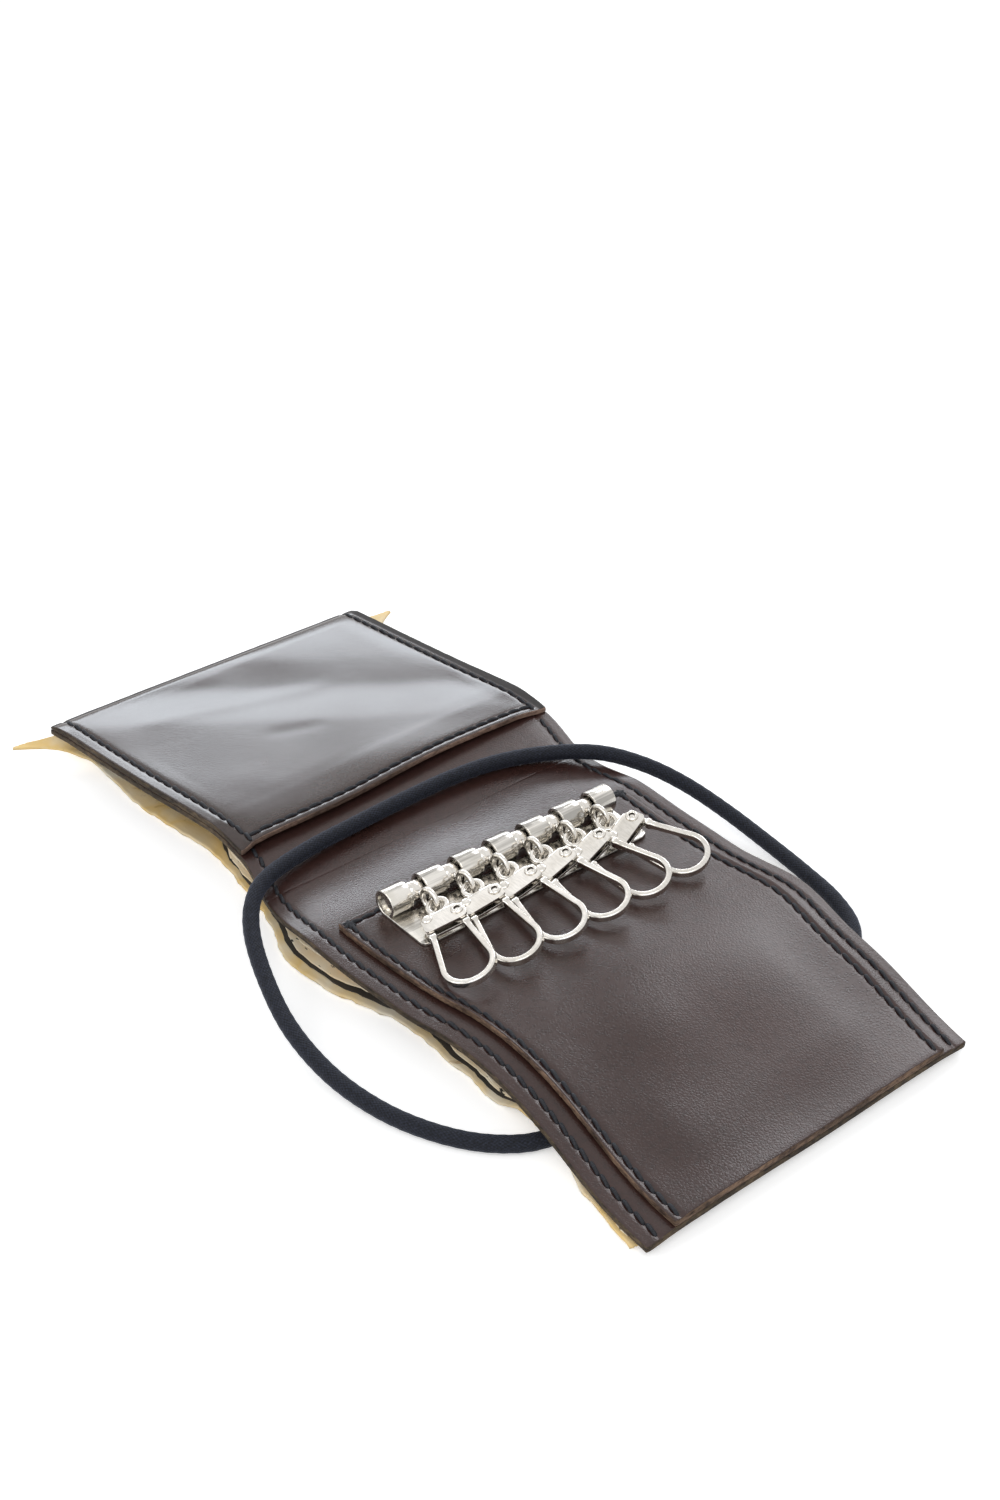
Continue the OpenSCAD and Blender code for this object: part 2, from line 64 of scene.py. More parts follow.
LOOP_TOP, LOOP_R, LOOP_L, WIRE_W, WIRE_H = 3.3, 4.5, 12.9, 1.1, 1.5
HOOKS, MIDDLE_HOOK = 6, 3.5
FAN_MIDDLE, FAN_STEP, HOOK_ROLL, HOOK_DIP = -1.75, 7.0, 18.0, 1.6
BAND_R = 1.6
KEEPER_HALF, KEEPER_NEAR, KEEPER_FAR, KEEPER_UNDER, KEEPER_TOP = 11, -66.3, -57.7, 0.1, 3.45

# The seams: the liner's and the pocket's side rows, those of the key patch, and the two rows across
SEAM_X, PATCH_SEAM_X = 36, 31.5
PATCH_SEAM_Y, POCKET_SEAM_Y = Y_PATCH - 1.5, Y_MOUTH + 2.0
GROOVE_DEPTH, GROOVE_WIDTH = 0.2, 0.55
# The liner, the cover and the inner sheets have two lengths each, which lap in the spine's middle
Y_JOIN, LAP, LAP_DEPTH = 13.5, 0.6, 0.03

# Height of the liner's top and of the cover's underside along the case
LIFT = [(-91, 3), (-43.68, 9.2), (-22, 9), (-3.2, 9), (10.35, 8.2), (36.6, 10.4), (91, 8)]
BASE = [(-91, 0), (-74.9, 0), (-67.7, 3.5), (-56.3, 3.5), (-49.1, 0), (60.4, 0), (91, 4.4)]
# How far the leather's side edges wander from straight lines, and where the cover's side edges run
LEFT = [(-92, -0.8), (-80, -0.3), (-58, 1.7), (-40, 1.4), (-28, -0.4), (-9, -1.7), (11, -0.7),
        (27, 2.8), (60, 0.3), (92, -1.9)]
RIGHT = [(-92, -3.6), (-71, -0.2), (-59, 0.5), (-46, 2.2), (-32, 0.6), (-17, 0.5), (-3, 1.0),
         (13, 0.1), (29, 2.9), (60, 0.3), (92, -2.3)]
COVER_LEFT = [(-92, -40.6), (-80, -38.6), (-67, -37), (-56, -36), (-36, -35.2), (-22, -36),
              (-8, -40), (4, -41), (20, -36.4), (30, -34.6), (43, -33.6), (62, -35.8), (76, -36.2),
              (87, -38.8), (93, -54.0)]
COVER_RIGHT = [(-92, 36), (-40, 38.6), (0, 38.4), (30, 38.6), (70, 37.6), (85, 38.5), (93, 54)]


def fade(v, start, end):
    """0 to 1, smoothly, as v goes from start to end."""
    t = min(max((v - start) / (end - start), 0.0), 1.0)
    return t * t * (3 - 2 * t)


def follow(stops, y):
    """Value at y of a line that is level at each stop."""
    for (ya, za), (yb, zb) in zip(stops, stops[1:]):
        if y <= yb:
            break
    return za + (zb - za) * fade(y, ya, yb)


def hermite(stops, y):
    """Value at y of a smooth line through the stops."""
    n = len(stops)
    k = 0
    while k < n - 2 and y > stops[k + 1][0]:
        k += 1

    def slope(j):
        a, b = stops[max(j - 1, 0)], stops[min(j + 1, n - 1)]
        return (b[1] - a[1]) / (b[0] - a[0])

    (ya, va), (yb, vb) = stops[k], stops[k + 1]
    h = yb - ya
    t = min(max((y - ya) / h, 0.0), 1.0)
    return ((2 * t ** 3 - 3 * t ** 2 + 1) * va + (t ** 3 - 2 * t ** 2 + t) * h * slope(k)
            + (3 * t ** 2 - 2 * t ** 3) * vb + (t ** 3 - t ** 2) * h * slope(k + 1))


def ripple(x, y, size, seed):
    """Noise from about -1 to 1 with swells of a size."""
    return noise.noise(Vector((x / size, y / size, seed)))


def warp(x, y):
    """Where a point of the straight leather lies across the case, with its wandering edges."""
    return x + fade(-x, 5, 30) * hermite(LEFT, y) + fade(x, 5, 30) * hermite(RIGHT, y)


def rise(y):
    """Height of the liner's top along the case; its far length runs straight."""
    (ya, za), (yb, zb) = LIFT[-2:]
    return follow(LIFT, y) if y < ya else za + (zb - za) * (y - ya) / (yb - ya)


def lean(x, y):
    """How far the far length stands up at its left side and hangs under the pocket's middle."""
    side = fade(-x, 20, 32) * fade(y, Y_MOUTH, Y_MOUTH + 10) * fade(y, 90.4, 84.4)
    middle = fade(abs(x), 34, 30) * fade(y, Y_MOUTH + 2, Y_MOUTH + 8) * fade(y, 88, 84)
    return 0.35 * side - 0.35 * middle


def liner_top(x, y):
    calm = fade(abs(y + 13), 10, 20) * (1 - 0.75 * fade(y, Y_MOUTH, Y_MOUTH + 10))
    droop = 0.4 * fade(abs(x), 32, 39)
    return rise(y) + calm * (0.45 * ripple(x, y, 26, 1.7) - droop) + lean(x, y)


def groove(d):
    """Depth at a distance d from a seam, which is drawn into the leather."""
    return GROOVE_DEPTH * math.exp(-(d / GROOVE_WIDTH) ** 2)


def liner_skin(x, y):
    return liner_top(x, y) - groove(abs(x) - SEAM_X)


def patch_under(x, y):
    lift = 0.5 * fade(abs(x), PATCH_SEAM_X, 33.5) * fade(y, -20, -34) * fade(y, -88, -58)
    calm = fade(abs(x), 30, 18) * fade(y, -26, -38) * fade(y, -90, -76)
    swell = 0.25 + 0.45 * ripple(x, y, 19, 4.2)
    return liner_top(x, y) + lift * (1 if x < 0 else 0.5) + max(0, swell) * calm


def patch_skin(x, y):
    rim = groove(abs(x) - PATCH_SEAM_X) if y < Y_PATCH - 1 else 0
    row = groove(y - PATCH_SEAM_Y) if abs(x) < 32 else 0
    return patch_under(x, y) + PATCH_T - max(rim, row)


# How far the pocket stands off the liner along the case, and the long slanted fold across it
POCKET_GAP = [(27, 1.36), (32, 0.76), (36, 0.44), (40, 0.38), (60, 0.38), (91, 0.40)]
FOLD = [(-7, 0), (-4, -0.02), (0, -0.145), (4, -0.293), (7, -0.39), (10, -0.43), (14, -0.345),
        (18, -0.225), (22, -0.11), (26, -0.04), (30, 0.015), (36, 0.10), (44, 0.20)]
FOLD_START, FOLD_WAY = (-26, 82), (0.627, 0.779)
# Narrow creases: two ends, height and width
CREASES = [(-25, 77, 10, 65.5, 0.06, 2.4), (-9, 56, 1, 52, -0.04, 1.8),
           (-20, 88, -4, 85, 0.05, 3.0)]


def pocket_under(x, y):
    open_up = 0.6 * (math.cos(x / CASE_HALF * math.pi / 2) - 1) + 0.25 * math.sin(x / 7)
    edge = fade(x, 38.5, 30.5) * fade(x, -39.4, -35.4) * fade(y, 90.4, 85.4)
    gap = hermite(POCKET_GAP, y) - 0.1 - lean(x, y) + open_up * fade(y, 41, Y_MOUTH)
    along = FOLD_WAY[0] * (x - FOLD_START[0]) + FOLD_WAY[1] * (y - FOLD_START[1])
    gap += hermite(FOLD, along) * fade(y, Y_MOUTH + 2, Y_MOUTH + 10)
    gap += 0.12 * ripple(x, y, 22, 5.1) + 0.02 * ripple(x, y, 9, 2.6)
    for xa, ya, xb, yb, high, wide in CREASES:
        dx, dy = xb - xa, yb - ya
        t = ((x - xa) * dx + (y - ya) * dy) / (dx * dx + dy * dy)
        near = min(max(t, 0), 1)
        d = math.hypot(x - xa - dx * near, y - ya - dy * near)
        gap += high * math.exp(-(d / wide) ** 2) * fade(t, -0.25, 0.15) * fade(t, 1.25, 0.85)
    return liner_top(x, y) + max(0.02, 0.1 + gap * edge)


def pocket_skin(x, y):
    rim = groove(abs(x) - SEAM_X) if y > Y_MOUTH + 1 else 0
    row = groove(y - POCKET_SEAM_Y) if abs(x) < 36.5 else 0
    thinner = 0.77 * fade(y, 88.4, 91.2)
    return pocket_under(x, y) + POCKET_T - max(rim, row) - thinner


# Meshes
def make(name, verts, faces, mats, body=None, slot=None, face_mats=None, flat=False):
    """A piece from millimetres, with its materials and the body it rides on; the slot argument is
    not used.
    """
    mesh = bpy.data.meshes.new(name)
    mesh.from_pydata([(x * MM, y * MM, z * MM) for x, y, z in verts], [], faces)
    for mat in mats:
        mesh.materials.append(mat)
    if face_mats:
        mesh.polygons.foreach_set("material_index", face_mats)
    mesh.polygons.foreach_set("use_smooth", [not flat] * len(faces))
    mesh.update()
    piece = bpy.data.objects.new(name, mesh)
    bpy.context.scene.collection.objects.link(piece)
    if body:
        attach(piece, body)
    return piece


def spread(start, end, step, fine=()):
    """Values from start to end, about step apart, with extra ones round each fine place."""
    closest = 0.12
    n = max(1, round((end - start) / step))
    values = {round(start + (end - start) * k / n, 4) for k in range(n + 1)}
    for place in fine:
        for d in (-1.2, -0.8, -0.5, -0.25, 0, 0.25, 0.5, 0.8, 1.2):
            if start < place + d < end:
                values.add(round(place + d, 4))
    values = sorted(values)
    return [v for k, v in enumerate(values) if k == 0 or v - values[k - 1] > closest]


def across(half, step, fine=()):
    return spread(-half, half, step, fine)


def sheet(name, xs, ys, place, top, under, mats, body=None, slot=None, round_r=0.3, ragged=0.05):
    """A closed sheet with rounded edges; place(x, y) gives the plan position of a grid point.

    The materials are those of the top, the edge and the underside, and of the edge towards -Y if it
    has its own.
    """
    front = 3 if len(mats) > 3 else 1
    nx, ny = len(xs), len(ys)
    verts, faces, face_mats = [], [], []
    for fn in (top, under):
        for y in ys:
            for x in xs:
                px, py = place(x, y)
                verts.append((px, py, fn(x, y)))
    low = nx * ny
    for j in range(ny - 1):
        for i in range(nx - 1):
            a = j * nx + i
            faces.append((a, a + 1, a + nx + 1, a + nx))
            face_mats.append(0)
            faces.append((low + a, low + a + nx, low + a + nx + 1, low + a + 1))
            face_mats.append(2)
    loop = (list(range(nx)) + [j * nx + nx - 1 for j in range(1, ny)]
            + [(ny - 1) * nx + i for i in range(nx - 2, -1, -1)]
            + [j * nx for j in range(ny - 2, 0, -1)])
    n = len(loop)
    rings = [loop]
    out = []
    for k in range(n):
        a, b = Vector(verts[loop[k - 1]]), Vector(verts[loop[(k + 1) % n]])
        way = (b - a).to_2d().normalized()
        out.append((way.y, -way.x))
    for part, angle in ((0, 35), (0, 65), (0, 90), (1, 90), (1, 65), (1, 35)):
        turn = math.radians(angle)
        ring = []
        for k in range(n):
            x, y, z = verts[loop[k] + part * low]
            zt, zb = verts[loop[k]][2], verts[loop[k] + low][2]
            r = min(round_r, (zt - zb) / 2)
            push = r * math.sin(turn) + ragged * ripple(x * 9, y * 9, 3, part + angle)
            drop = r * (1 - math.cos(turn)) * (1 if part else -1)
            ring.append(len(verts))
            verts.append((x + out[k][0] * push, y + out[k][1] * push, z + drop))
        rings.append(ring)
    rings.append([v + low for v in loop])
    for r, (upper, lower) in enumerate(zip(rings, rings[1:])):
        for k in range(n):
            m = (k + 1) % n
            faces.append((upper[k], lower[k], lower[m], upper[m]))
            face_mats.append(0 if r < 1 else 2 if r > 5 else front if k < nx - 1 else 1)
    return make(name, verts, faces, mats, body, slot, face_mats)


def sweep(path, section, closed=False):
    """Verts and faces of a section carried along a path; section(k) gives (side, up) offsets."""
    n = len(path)
    verts, faces = [], []
    sides = 0
    for k, p in enumerate(path):
        a = path[(k - 1) % n] if closed else path[max(k - 1, 0)]
        b = path[(k + 1) % n] if closed else path[min(k + 1, n - 1)]
        way = (b - a).normalized()
        side = way.cross(Vector((0, 0, 1))).normalized()
        over = side.cross(way).normalized()
        shape = section(k)
        sides = len(shape)
        for s, u in shape:
            verts.append(tuple(p + side * s + over * u))
    for k in range(n if closed else n - 1):
        for j in range(sides):
            a, b = k * sides + j, k * sides + (j + 1) % sides
            c, d = ((k + 1) % n) * sides + (j + 1) % sides, ((k + 1) % n) * sides + j
            faces.append((a, b, c, d))
    if not closed:
        faces.append(tuple(range(sides - 1, -1, -1)))
        faces.append(tuple((n - 1) * sides + j for j in range(sides)))
    return verts, faces


def oval(w, h, sides, square=2.6):
    """A rounded section, between an ellipse and a rectangle."""
    shape = []
    for j in range(sides):
        a = TAU * j / sides
        c, s = math.cos(a), math.sin(a)
        shape.append((w / 2 * math.copysign(abs(c) ** (2 / square), c),
                      h / 2 * math.copysign(abs(s) ** (2 / square), s)))
    return shape


def bar_section(w, h, corner=0.26):
    """A flat bar with rounded corners."""
    shape = []
    quarter = ((1, 0), (0.7, 0.3), (0.3, 0.7), (0, 1))
    for sx, sy in ((1, 1), (-1, 1), (-1, -1), (1, -1)):
        for a, b in quarter if sx == sy else quarter[::-1]:
            a, b = math.sin(a * math.pi / 2), math.sin(b * math.pi / 2)
            shape.append((sx * (w / 2 - corner + corner * a), sy * (h / 2 - corner + corner * b)))
    return shape


def lathe(profile, sides=40):
    """Verts and faces turned round Z from (radius, height) points; open where a radius is 0."""
    verts, faces = [], []
    for r, z in profile:
        for j in range(sides):
            a = TAU * j / sides
            verts.append((r * math.cos(a), r * math.sin(a), z))
    m = len(profile)
    for k in range(m):
        if k == m - 1 and (profile[0][0] == 0 or profile[-1][0] == 0):
            break
        for j in range(sides):
            a, b = k * sides + j, k * sides + (j + 1) % sides
            c, d = ((k + 1) % m) * sides + (j + 1) % sides, ((k + 1) % m) * sides + j
            faces.append((a, b, c, d))
    return verts, faces


def ring(radius, w, h, count=40, sides=14):
    path = [Vector((radius * math.cos(TAU * k / count), radius * math.sin(TAU * k / count), 0))
            for k in range(count)]
    return sweep(path, lambda k: oval(w, h, sides), closed=True)


def tube_profile(r0, r1, length, bevel):
    """Section of a tube between two radii, for lathe."""
    h = length / 2
    return [(r0, -h + bevel), (r0 + bevel, -h), (r1 - bevel, -h), (r1, -h + bevel),
            (r1, h - bevel), (r1 - bevel, h), (r0 + bevel, h), (r0, h - bevel)]


def merge(parts):
    """One mesh from ((verts, faces), matrix) pairs."""
    verts, faces = [], []
    for (vs, fs), matrix in parts:
        base = len(verts)
        verts += [tuple(matrix @ Vector(v)) for v in vs]
        faces += [tuple(base + i for i in f) for f in fs]
    return verts, faces


def add_modifier(piece, kind, **values):
    modifier = piece.modifiers.new(kind.title(), kind)
    for key, value in values.items():
        setattr(modifier, key, value)


def bent_sheet(piece, thickness, bevel):
    """Gives a surface of folded metal its thickness and soft edges."""
    add_modifier(piece, "SOLIDIFY", thickness=thickness * MM, offset=0)
    add_modifier(piece, "BEVEL", width=bevel * MM, segments=2, limit_method="ANGLE",
                 angle_limit=0.7)


# Materials
def node(tree, kind, inputs=(), **settings):
    """A new node; each of its inputs is a value or the socket that it is linked to."""
    new = tree.nodes.new("ShaderNode" + kind)
    for key, value in settings.items():
        setattr(new, key, value)
    for key, value in dict(inputs).items():
        if isinstance(value, bpy.types.NodeSocket):
            tree.links.new(value, new.inputs[key])
        else:
            new.inputs[key].default_value = value
    return new


def material(name, colour, roughness, metallic=0.0, specular=0.5):
    """A plain Principled material, with its tree and shader to build on."""
    mat = bpy.data.materials.new(name)
    mat.use_nodes = True
    shader = mat.node_tree.nodes["Principled BSDF"]
    shader.inputs["Base Color"].default_value = (*colour, 1)
    shader.inputs["Roughness"].default_value = roughness
    shader.inputs["Metallic"].default_value = metallic
    shader.inputs["Specular IOR Level"].default_value = specular
    return mat, mat.node_tree, shader


def paint(tree, shader, colour, key="Base Color"):
    tree.links.new(colour, shader.inputs[key])


def coords(tree, scale=(1, 1, 1)):
    where = node(tree, "TexCoord")
    mapping = node(tree, "Mapping", {"Vector": where.outputs["Object"], "Scale": scale})
    return mapping.outputs["Vector"]


def noise_tex(tree, vector, scale, detail=3.0, rough=0.55, distortion=0.0):
    tex = node(tree, "TexNoise", {"Vector": vector, "Scale": scale, "Detail": detail,
                                  "Roughness": rough, "Distortion": distortion})
    return tex.outputs["Fac"]


def ramp(tree, value, stops):
    """Colours by a value; stops are (place, colour)."""
    new = node(tree, "ValToRGB", {"Fac": value})
    elements = new.color_ramp.elements
    while len(elements) < len(stops):
        elements.new(0.5)
    for element, (place, colour) in zip(elements, stops):
        element.position = place
        element.color = (*colour, 1)
    return new.outputs["Color"]


def grey(v):
    return (v, v, v)


def mix(tree, fac, a, b, blend="MIX"):
    """Two colours mixed; each is a colour or a socket, and fac is a number or a socket."""
    a, b = [(*c, 1) if isinstance(c, tuple) else c for c in (a, b)]
    return node(tree, "Mix", {0: fac, 6: a, 7: b}, data_type="RGBA", blend_type=blend).outputs[2]


def add_bump(tree, shader, heights):
    """Bumps on a shader from (height, strength, distance in mm)."""
    normal = {}
    for value, strength, distance in heights:
        bump = node(tree, "Bump", {"Strength": strength, "Distance": distance * MM,
                                   "Height": value, **normal})
        normal = {"Normal": bump.outputs["Normal"]}
    paint(tree, shader, normal["Normal"], "Normal")


def zone(tree, value, start, end):
    """0 to 1, smoothly, as a value goes from start to end."""
    between = node(tree, "MapRange", {"Value": value, "From Min": start, "From Max": end},
                   interpolation_type="SMOOTHSTEP")
    return between.outputs["Result"]


def along(tree, way, start, end):
    """0 to 1 from start to end millimetres along a direction of the object."""
    dot = node(tree, "VectorMath", {0: node(tree, "TexCoord").outputs["Object"], 1: way},
               operation="DOT_PRODUCT")
    return zone(tree, dot.outputs["Value"], start * MM, end * MM)


def leather_material(name, dark, light, rough_low, rough_high, grain=1.0, shaded_rims=()):
    """Brown leather; along each of the rims, given as a way and where along it, the leather gets
    dull and a painted shade makes it dark.
    """
    mat, tree, shader = material(name, dark, rough_low)
    v = coords(tree)
    broad = noise_tex(tree, v, 28, 3, 0.6)
    blotch = ramp(tree, broad, [(0.35, dark), (0.72, light)])
    speck = noise_tex(tree, v, 900, 2, 0.6)
    specks = ramp(tree, speck, [(0.3, grey(0.72)), (0.55, grey(1.0))])
    colour = mix(tree, 1.0, blotch, specks, "MULTIPLY")
    fleck = noise_tex(tree, v, 330, 2, 0.5)
    flecks = ramp(tree, fleck, [(0.775, grey(0)), (0.81, grey(0.45))])
    colour = mix(tree, flecks, colour, (0.13, 0.09, 0.065))
    smear = noise_tex(tree, v, 26, 2, 0.5)
    rough = ramp(tree, smear, [(0.3, grey(rough_low)), (0.7, grey(rough_high))])
    for way, start, end in shaded_rims:
        # painted shade: along this rim the colour goes dark
        rim = along(tree, way, start, end)
        colour = mix(tree, rim, colour, (0.010, 0.007, 0.006))
        rough = mix(tree, rim, rough, grey(0.75))
    paint(tree, shader, colour)
    paint(tree, shader, rough, "Roughness")
    cells = node(tree, "TexVoronoi", {"Vector": v, "Scale": 1600}, feature="DISTANCE_TO_EDGE")
    pebble = ramp(tree, cells.outputs["Distance"], [(0.0, grey(0)), (0.28, grey(1))])
    fine = noise_tex(tree, v, 2600, 2, 0.6)
    wide = noise_tex(tree, v, 240, 3, 0.55)
    add_bump(tree, shader, [(pebble, 0.15 * grain, 0.10), (fine, 0.18 * grain, 0.05),
                                    (wide, 0.20 * grain, 0.12)])
    return mat


def edge_material(name, dark, light, scale=(1, 1, 3.2)):
    """The fibres of a cut edge, or of the flesh side."""
    mat, tree, shader = material(name, dark, 0.75, specular=0.25)
    v = coords(tree, scale)
    fibre = noise_tex(tree, v, 620, 4, 0.7)
    blotch = noise_tex(tree, v, 90, 2, 0.5)
    tone = ramp(tree, fibre, [(0.36, dark), (0.62, light)])
    shade = ramp(tree, blotch, [(0.36, grey(0.42)), (0.62, grey(1))])
    paint(tree, shader, mix(tree, 1.0, tone, shade, "MULTIPLY"))
    add_bump(tree, shader, [(fibre, 0.7, 0.2)])
    return mat


leather = leather_material("leather_brown", (0.033, 0.0140, 0.0112), (0.050, 0.0235, 0.0198),
                           0.24, 0.32)
# The pocket's far edge and right rim get a painted shade.
leather_far = leather_material("leather_brown_far_shaded_rims", (0.030, 0.0165, 0.0135),
                               (0.046, 0.0275, 0.0230), 0.15, 0.20, 0.25,
                               [((0, 1, 0), 89.0, 90.2), ((1, 0.082, 0), 41.9, 42.7)])
leather_edge = edge_material("leather_cut_edge", (0.055, 0.033, 0.024), (0.25, 0.160, 0.105))
hem_edge = edge_material("leather_hem_edge", (0.13, 0.080, 0.060), (0.34, 0.225, 0.17))
liner_edge = edge_material("liner_cut_edge", (0.022, 0.017, 0.014), (0.12, 0.085, 0.05))
flesh = edge_material("leather_flesh_side", (0.06, 0.04, 0.03), (0.14, 0.095, 0.07), (1, 1, 1))


def cover_material():
    mat, tree, shader = material("cover_cream", (0.75, 0.6, 0.34), 0.7, specular=0.3)
    v = coords(tree)
    wash = noise_tex(tree, v, 48, 3, 0.55, 0.3)
    base = ramp(tree, wash, [(0.38, (0.88, 0.79, 0.62)), (0.53, (0.84, 0.60, 0.25)),
                                     (0.68, (0.88, 0.80, 0.63))])
    stain = noise_tex(tree, v, 210, 3, 0.7, 0.8)
    stains = ramp(tree, stain, [(0.62, grey(0)), (0.74, grey(1))])
    colour = mix(tree, stains, base, (0.42, 0.23, 0.06))
    paint(tree, shader, colour)
    crease = noise_tex(tree, coords(tree, (1, 0.4, 1)), 420, 3, 0.6)
    add_bump(tree, shader, [(crease, 0.5, 0.25), (stain, 0.3, 0.2)])
    return mat


def paper_material(name, pale, warm, marks=0.0):
    """A thin sheet; marks is the noise level above which it has dark specks, none at 0."""
    mat, tree, shader = material(name, pale, 0.65, specular=0.3)
    v = coords(tree)
    wash = noise_tex(tree, v, 120, 3, 0.55)
    colour = ramp(tree, wash, [(0.35, pale), (0.7, warm)])
    if marks:
        dots = noise_tex(tree, coords(tree, (3.0, 1.0, 1.0)), 520, 2, 0.5)
        inked = ramp(tree, dots, [(marks, grey(0)), (marks + 0.03, grey(1))])
        colour = mix(tree, inked, colour, (0.03, 0.025, 0.02))
    paint(tree, shader, colour)
    fibre = noise_tex(tree, v, 500, 3, 0.6)
    add_bump(tree, shader, [(fibre, 0.35, 0.15)])
    return mat


cover_mat = cover_material()
paper_mat = paper_material("sheet_cream", (0.90, 0.82, 0.66), (0.86, 0.68, 0.42), 0.66)
paper_pale = paper_material("sheet_pale", (0.92, 0.90, 0.84), (0.90, 0.83, 0.69))
film_mat = paper_material("film_dark", (0.035, 0.03, 0.024), (0.06, 0.05, 0.04))


def metal_material(name, light, dull, streak_stretch=(6, 1, 1), low=0.92):
    """Nickel with faint wear and dark streaks stretched by a given scale; low is how dark the
    streaks get. The streaks are painted dark reflections, strong on the rolled rack.
    """
    mat, tree, shader = material(name, light, 0.16, metallic=1.0)
    v = coords(tree)
    wear = noise_tex(tree, v, 260, 4, 0.65)
    rough = ramp(tree, wear, [(0.3, grey(0.17)), (0.75, grey(0.23))])
    paint(tree, shader, rough, "Roughness")
    tint = noise_tex(tree, v, 170, 3, 0.6)
    tone = ramp(tree, tint, [(0.4, light), (0.66, dull)])
    # painted dark reflections: stretched streaks darken the colour
    lines = noise_tex(tree, coords(tree, streak_stretch), 420, 3, 0.6)
    painted_reflection_streaks = ramp(tree, lines, [(0.42, grey(low)), (0.56, grey(1.0))])
    paint(tree, shader, mix(tree, 1.0, tone, painted_reflection_streaks, "MULTIPLY"))
    scratch = noise_tex(tree, coords(tree, (1, 5, 1)), 900, 2, 0.6)
    add_bump(tree, shader, [(scratch, 0.10, 0.02)])
    return mat


nickel = metal_material("nickel", (0.77, 0.74, 0.695), (0.67, 0.635, 0.58))
# Deep streaks along the barrel: painted dark reflections.
nickel_rack = metal_material("nickel_rolled", (0.80, 0.77, 0.72), (0.72, 0.69, 0.63),
                             (0.05, 1, 1), 0.50)
dark_bore_nickel = metal_material("nickel_dark", (0.10, 0.085, 0.07), (0.05, 0.04, 0.03))


def thread_material():
    mat, tree, shader = material("thread_black", (0.009, 0.010, 0.013), 0.62, specular=0.3)
    fibre = noise_tex(tree, coords(tree), 3800, 2, 0.6)
    paint(tree, shader, ramp(tree, fibre, [(0.35, (0.005, 0.006, 0.008)),
                                           (0.7, (0.028, 0.030, 0.038))]))
    add_bump(tree, shader, [(fibre, 0.5, 0.06)])
    return mat


thread_mat = thread_material()


def elastic_material():
    mat, tree, shader = material("elastic_navy", (0.010, 0.012, 0.020), 0.72, specular=0.25)
    shader.inputs["Sheen Weight"].default_value = 0.25
    shader.inputs["Sheen Roughness"].default_value = 0.4
    shader.inputs["Sheen Tint"].default_value = (0.35, 0.40, 0.55, 1)
    v = node(tree, "UVMap", uv_map="along").outputs["UV"]
    heights = []
    for turn in (0.62, -0.62):
        mapping = node(tree, "Mapping", {"Vector": v, "Rotation": (0, 0, turn)})
        wave = node(tree, "TexWave", {"Vector": mapping.outputs["Vector"], "Scale": 0.62,
                                      "Distortion": 0.4})
        heights.append(wave.outputs["Fac"])
    weave = mix(tree, 0.5, heights[0], heights[1])
    fuzz = noise_tex(tree, coords(tree), 2200, 3, 0.7)
    tone = ramp(tree, fuzz, [(0.38, (0.005, 0.006, 0.010)), (0.72, (0.022, 0.026, 0.042))])
    shade = ramp(tree, weave, [(0.3, grey(0.5)), (0.65, grey(1.2))])
    paint(tree, shader, mix(tree, 1.0, tone, shade, "MULTIPLY"))
    add_bump(tree, shader, [(weave, 0.4, 0.2), (fuzz, 0.5, 0.12)])
    return mat


elastic_mat = elastic_material()

# Camera and lights
scene = bpy.context.scene
scene.view_settings.view_transform = "Standard"


def aim(obj, place, target):
    """Puts a camera or a lamp in a place and turns it to a target."""
    back = (Vector(place) - Vector(target)).normalized()
    right = Vector((0, 0, 1)).cross(back).normalized()
    up = back.cross(right)
    turn = Matrix((right, up, back)).transposed()
    obj.matrix_world = Matrix.Translation(Vector(place)) @ turn.to_4x4()


camera = bpy.data.objects.new("camera", bpy.data.cameras.new("camera"))
scene.collection.objects.link(camera)
camera.data.sensor_fit = "VERTICAL"
camera.data.sensor_height = 36
camera.data.lens = 50
camera.data.clip_start = 0.01
azimuth, elevation, distance = math.radians(-39.47), math.radians(33.27), 0.4331
target = Vector((0.0293, 0.0285, 0.005))
back = Vector((math.sin(azimuth) * math.cos(elevation), -math.cos(azimuth) * math.cos(elevation),
               math.sin(elevation)))
aim(camera, target + back * distance, target)
scene.camera = camera

LAMPS = [  # name, place, target, width and height in metres, power, colour
    ("window", (0.50, 0.92, 0.439), (0, 0.05, 0), (0.85, 0.21), 3.25, (0.87, 0.93, 1.0)),
    ("high", (0.94, 0.39, 0.78), (0, -0.05, 0), (0.46, 0.46), 3.0, (0.95, 0.96, 1.0)),
    ("top", (0.13, 0.62, 0.80), (0, 0, 0), (0.36, 0.36), 0.12, (0.98, 0.98, 1.0)),
    ("fill", (-0.5, -0.5, 0.9), (0, 0, 0), (0.8, 0.8), 4.0, (1.0, 0.99, 0.97)),
    ("side", (-0.8, 0.3, 0.6), (0, 0, 0), (0.4, 0.4), 1.6, (1.0, 0.99, 0.98))]
for name, place, spot, size, power, colour in LAMPS:
    data = bpy.data.lights.new(name, "AREA")
    data.shape = "RECTANGLE"
    data.size, data.size_y = size
    data.energy = power
    data.color = colour
    lamp = bpy.data.objects.new(name, data)
    scene.collection.objects.link(lamp)
    aim(lamp, place, spot)

# The world: soft light on the case, and white for the rays that see the background
def seen_rays(tree):
    """1 for rays from the camera, from gloss and through glass, which see the white background."""
    path = node(tree, "LightPath")
    value = path.outputs["Is Camera Ray"]
    for name in ("Is Glossy Ray", "Is Transmission Ray"):
        top = node(tree, "Math", {0: value, 1: path.outputs[name]}, operation="MAXIMUM")
        value = top.outputs["Value"]
    return value


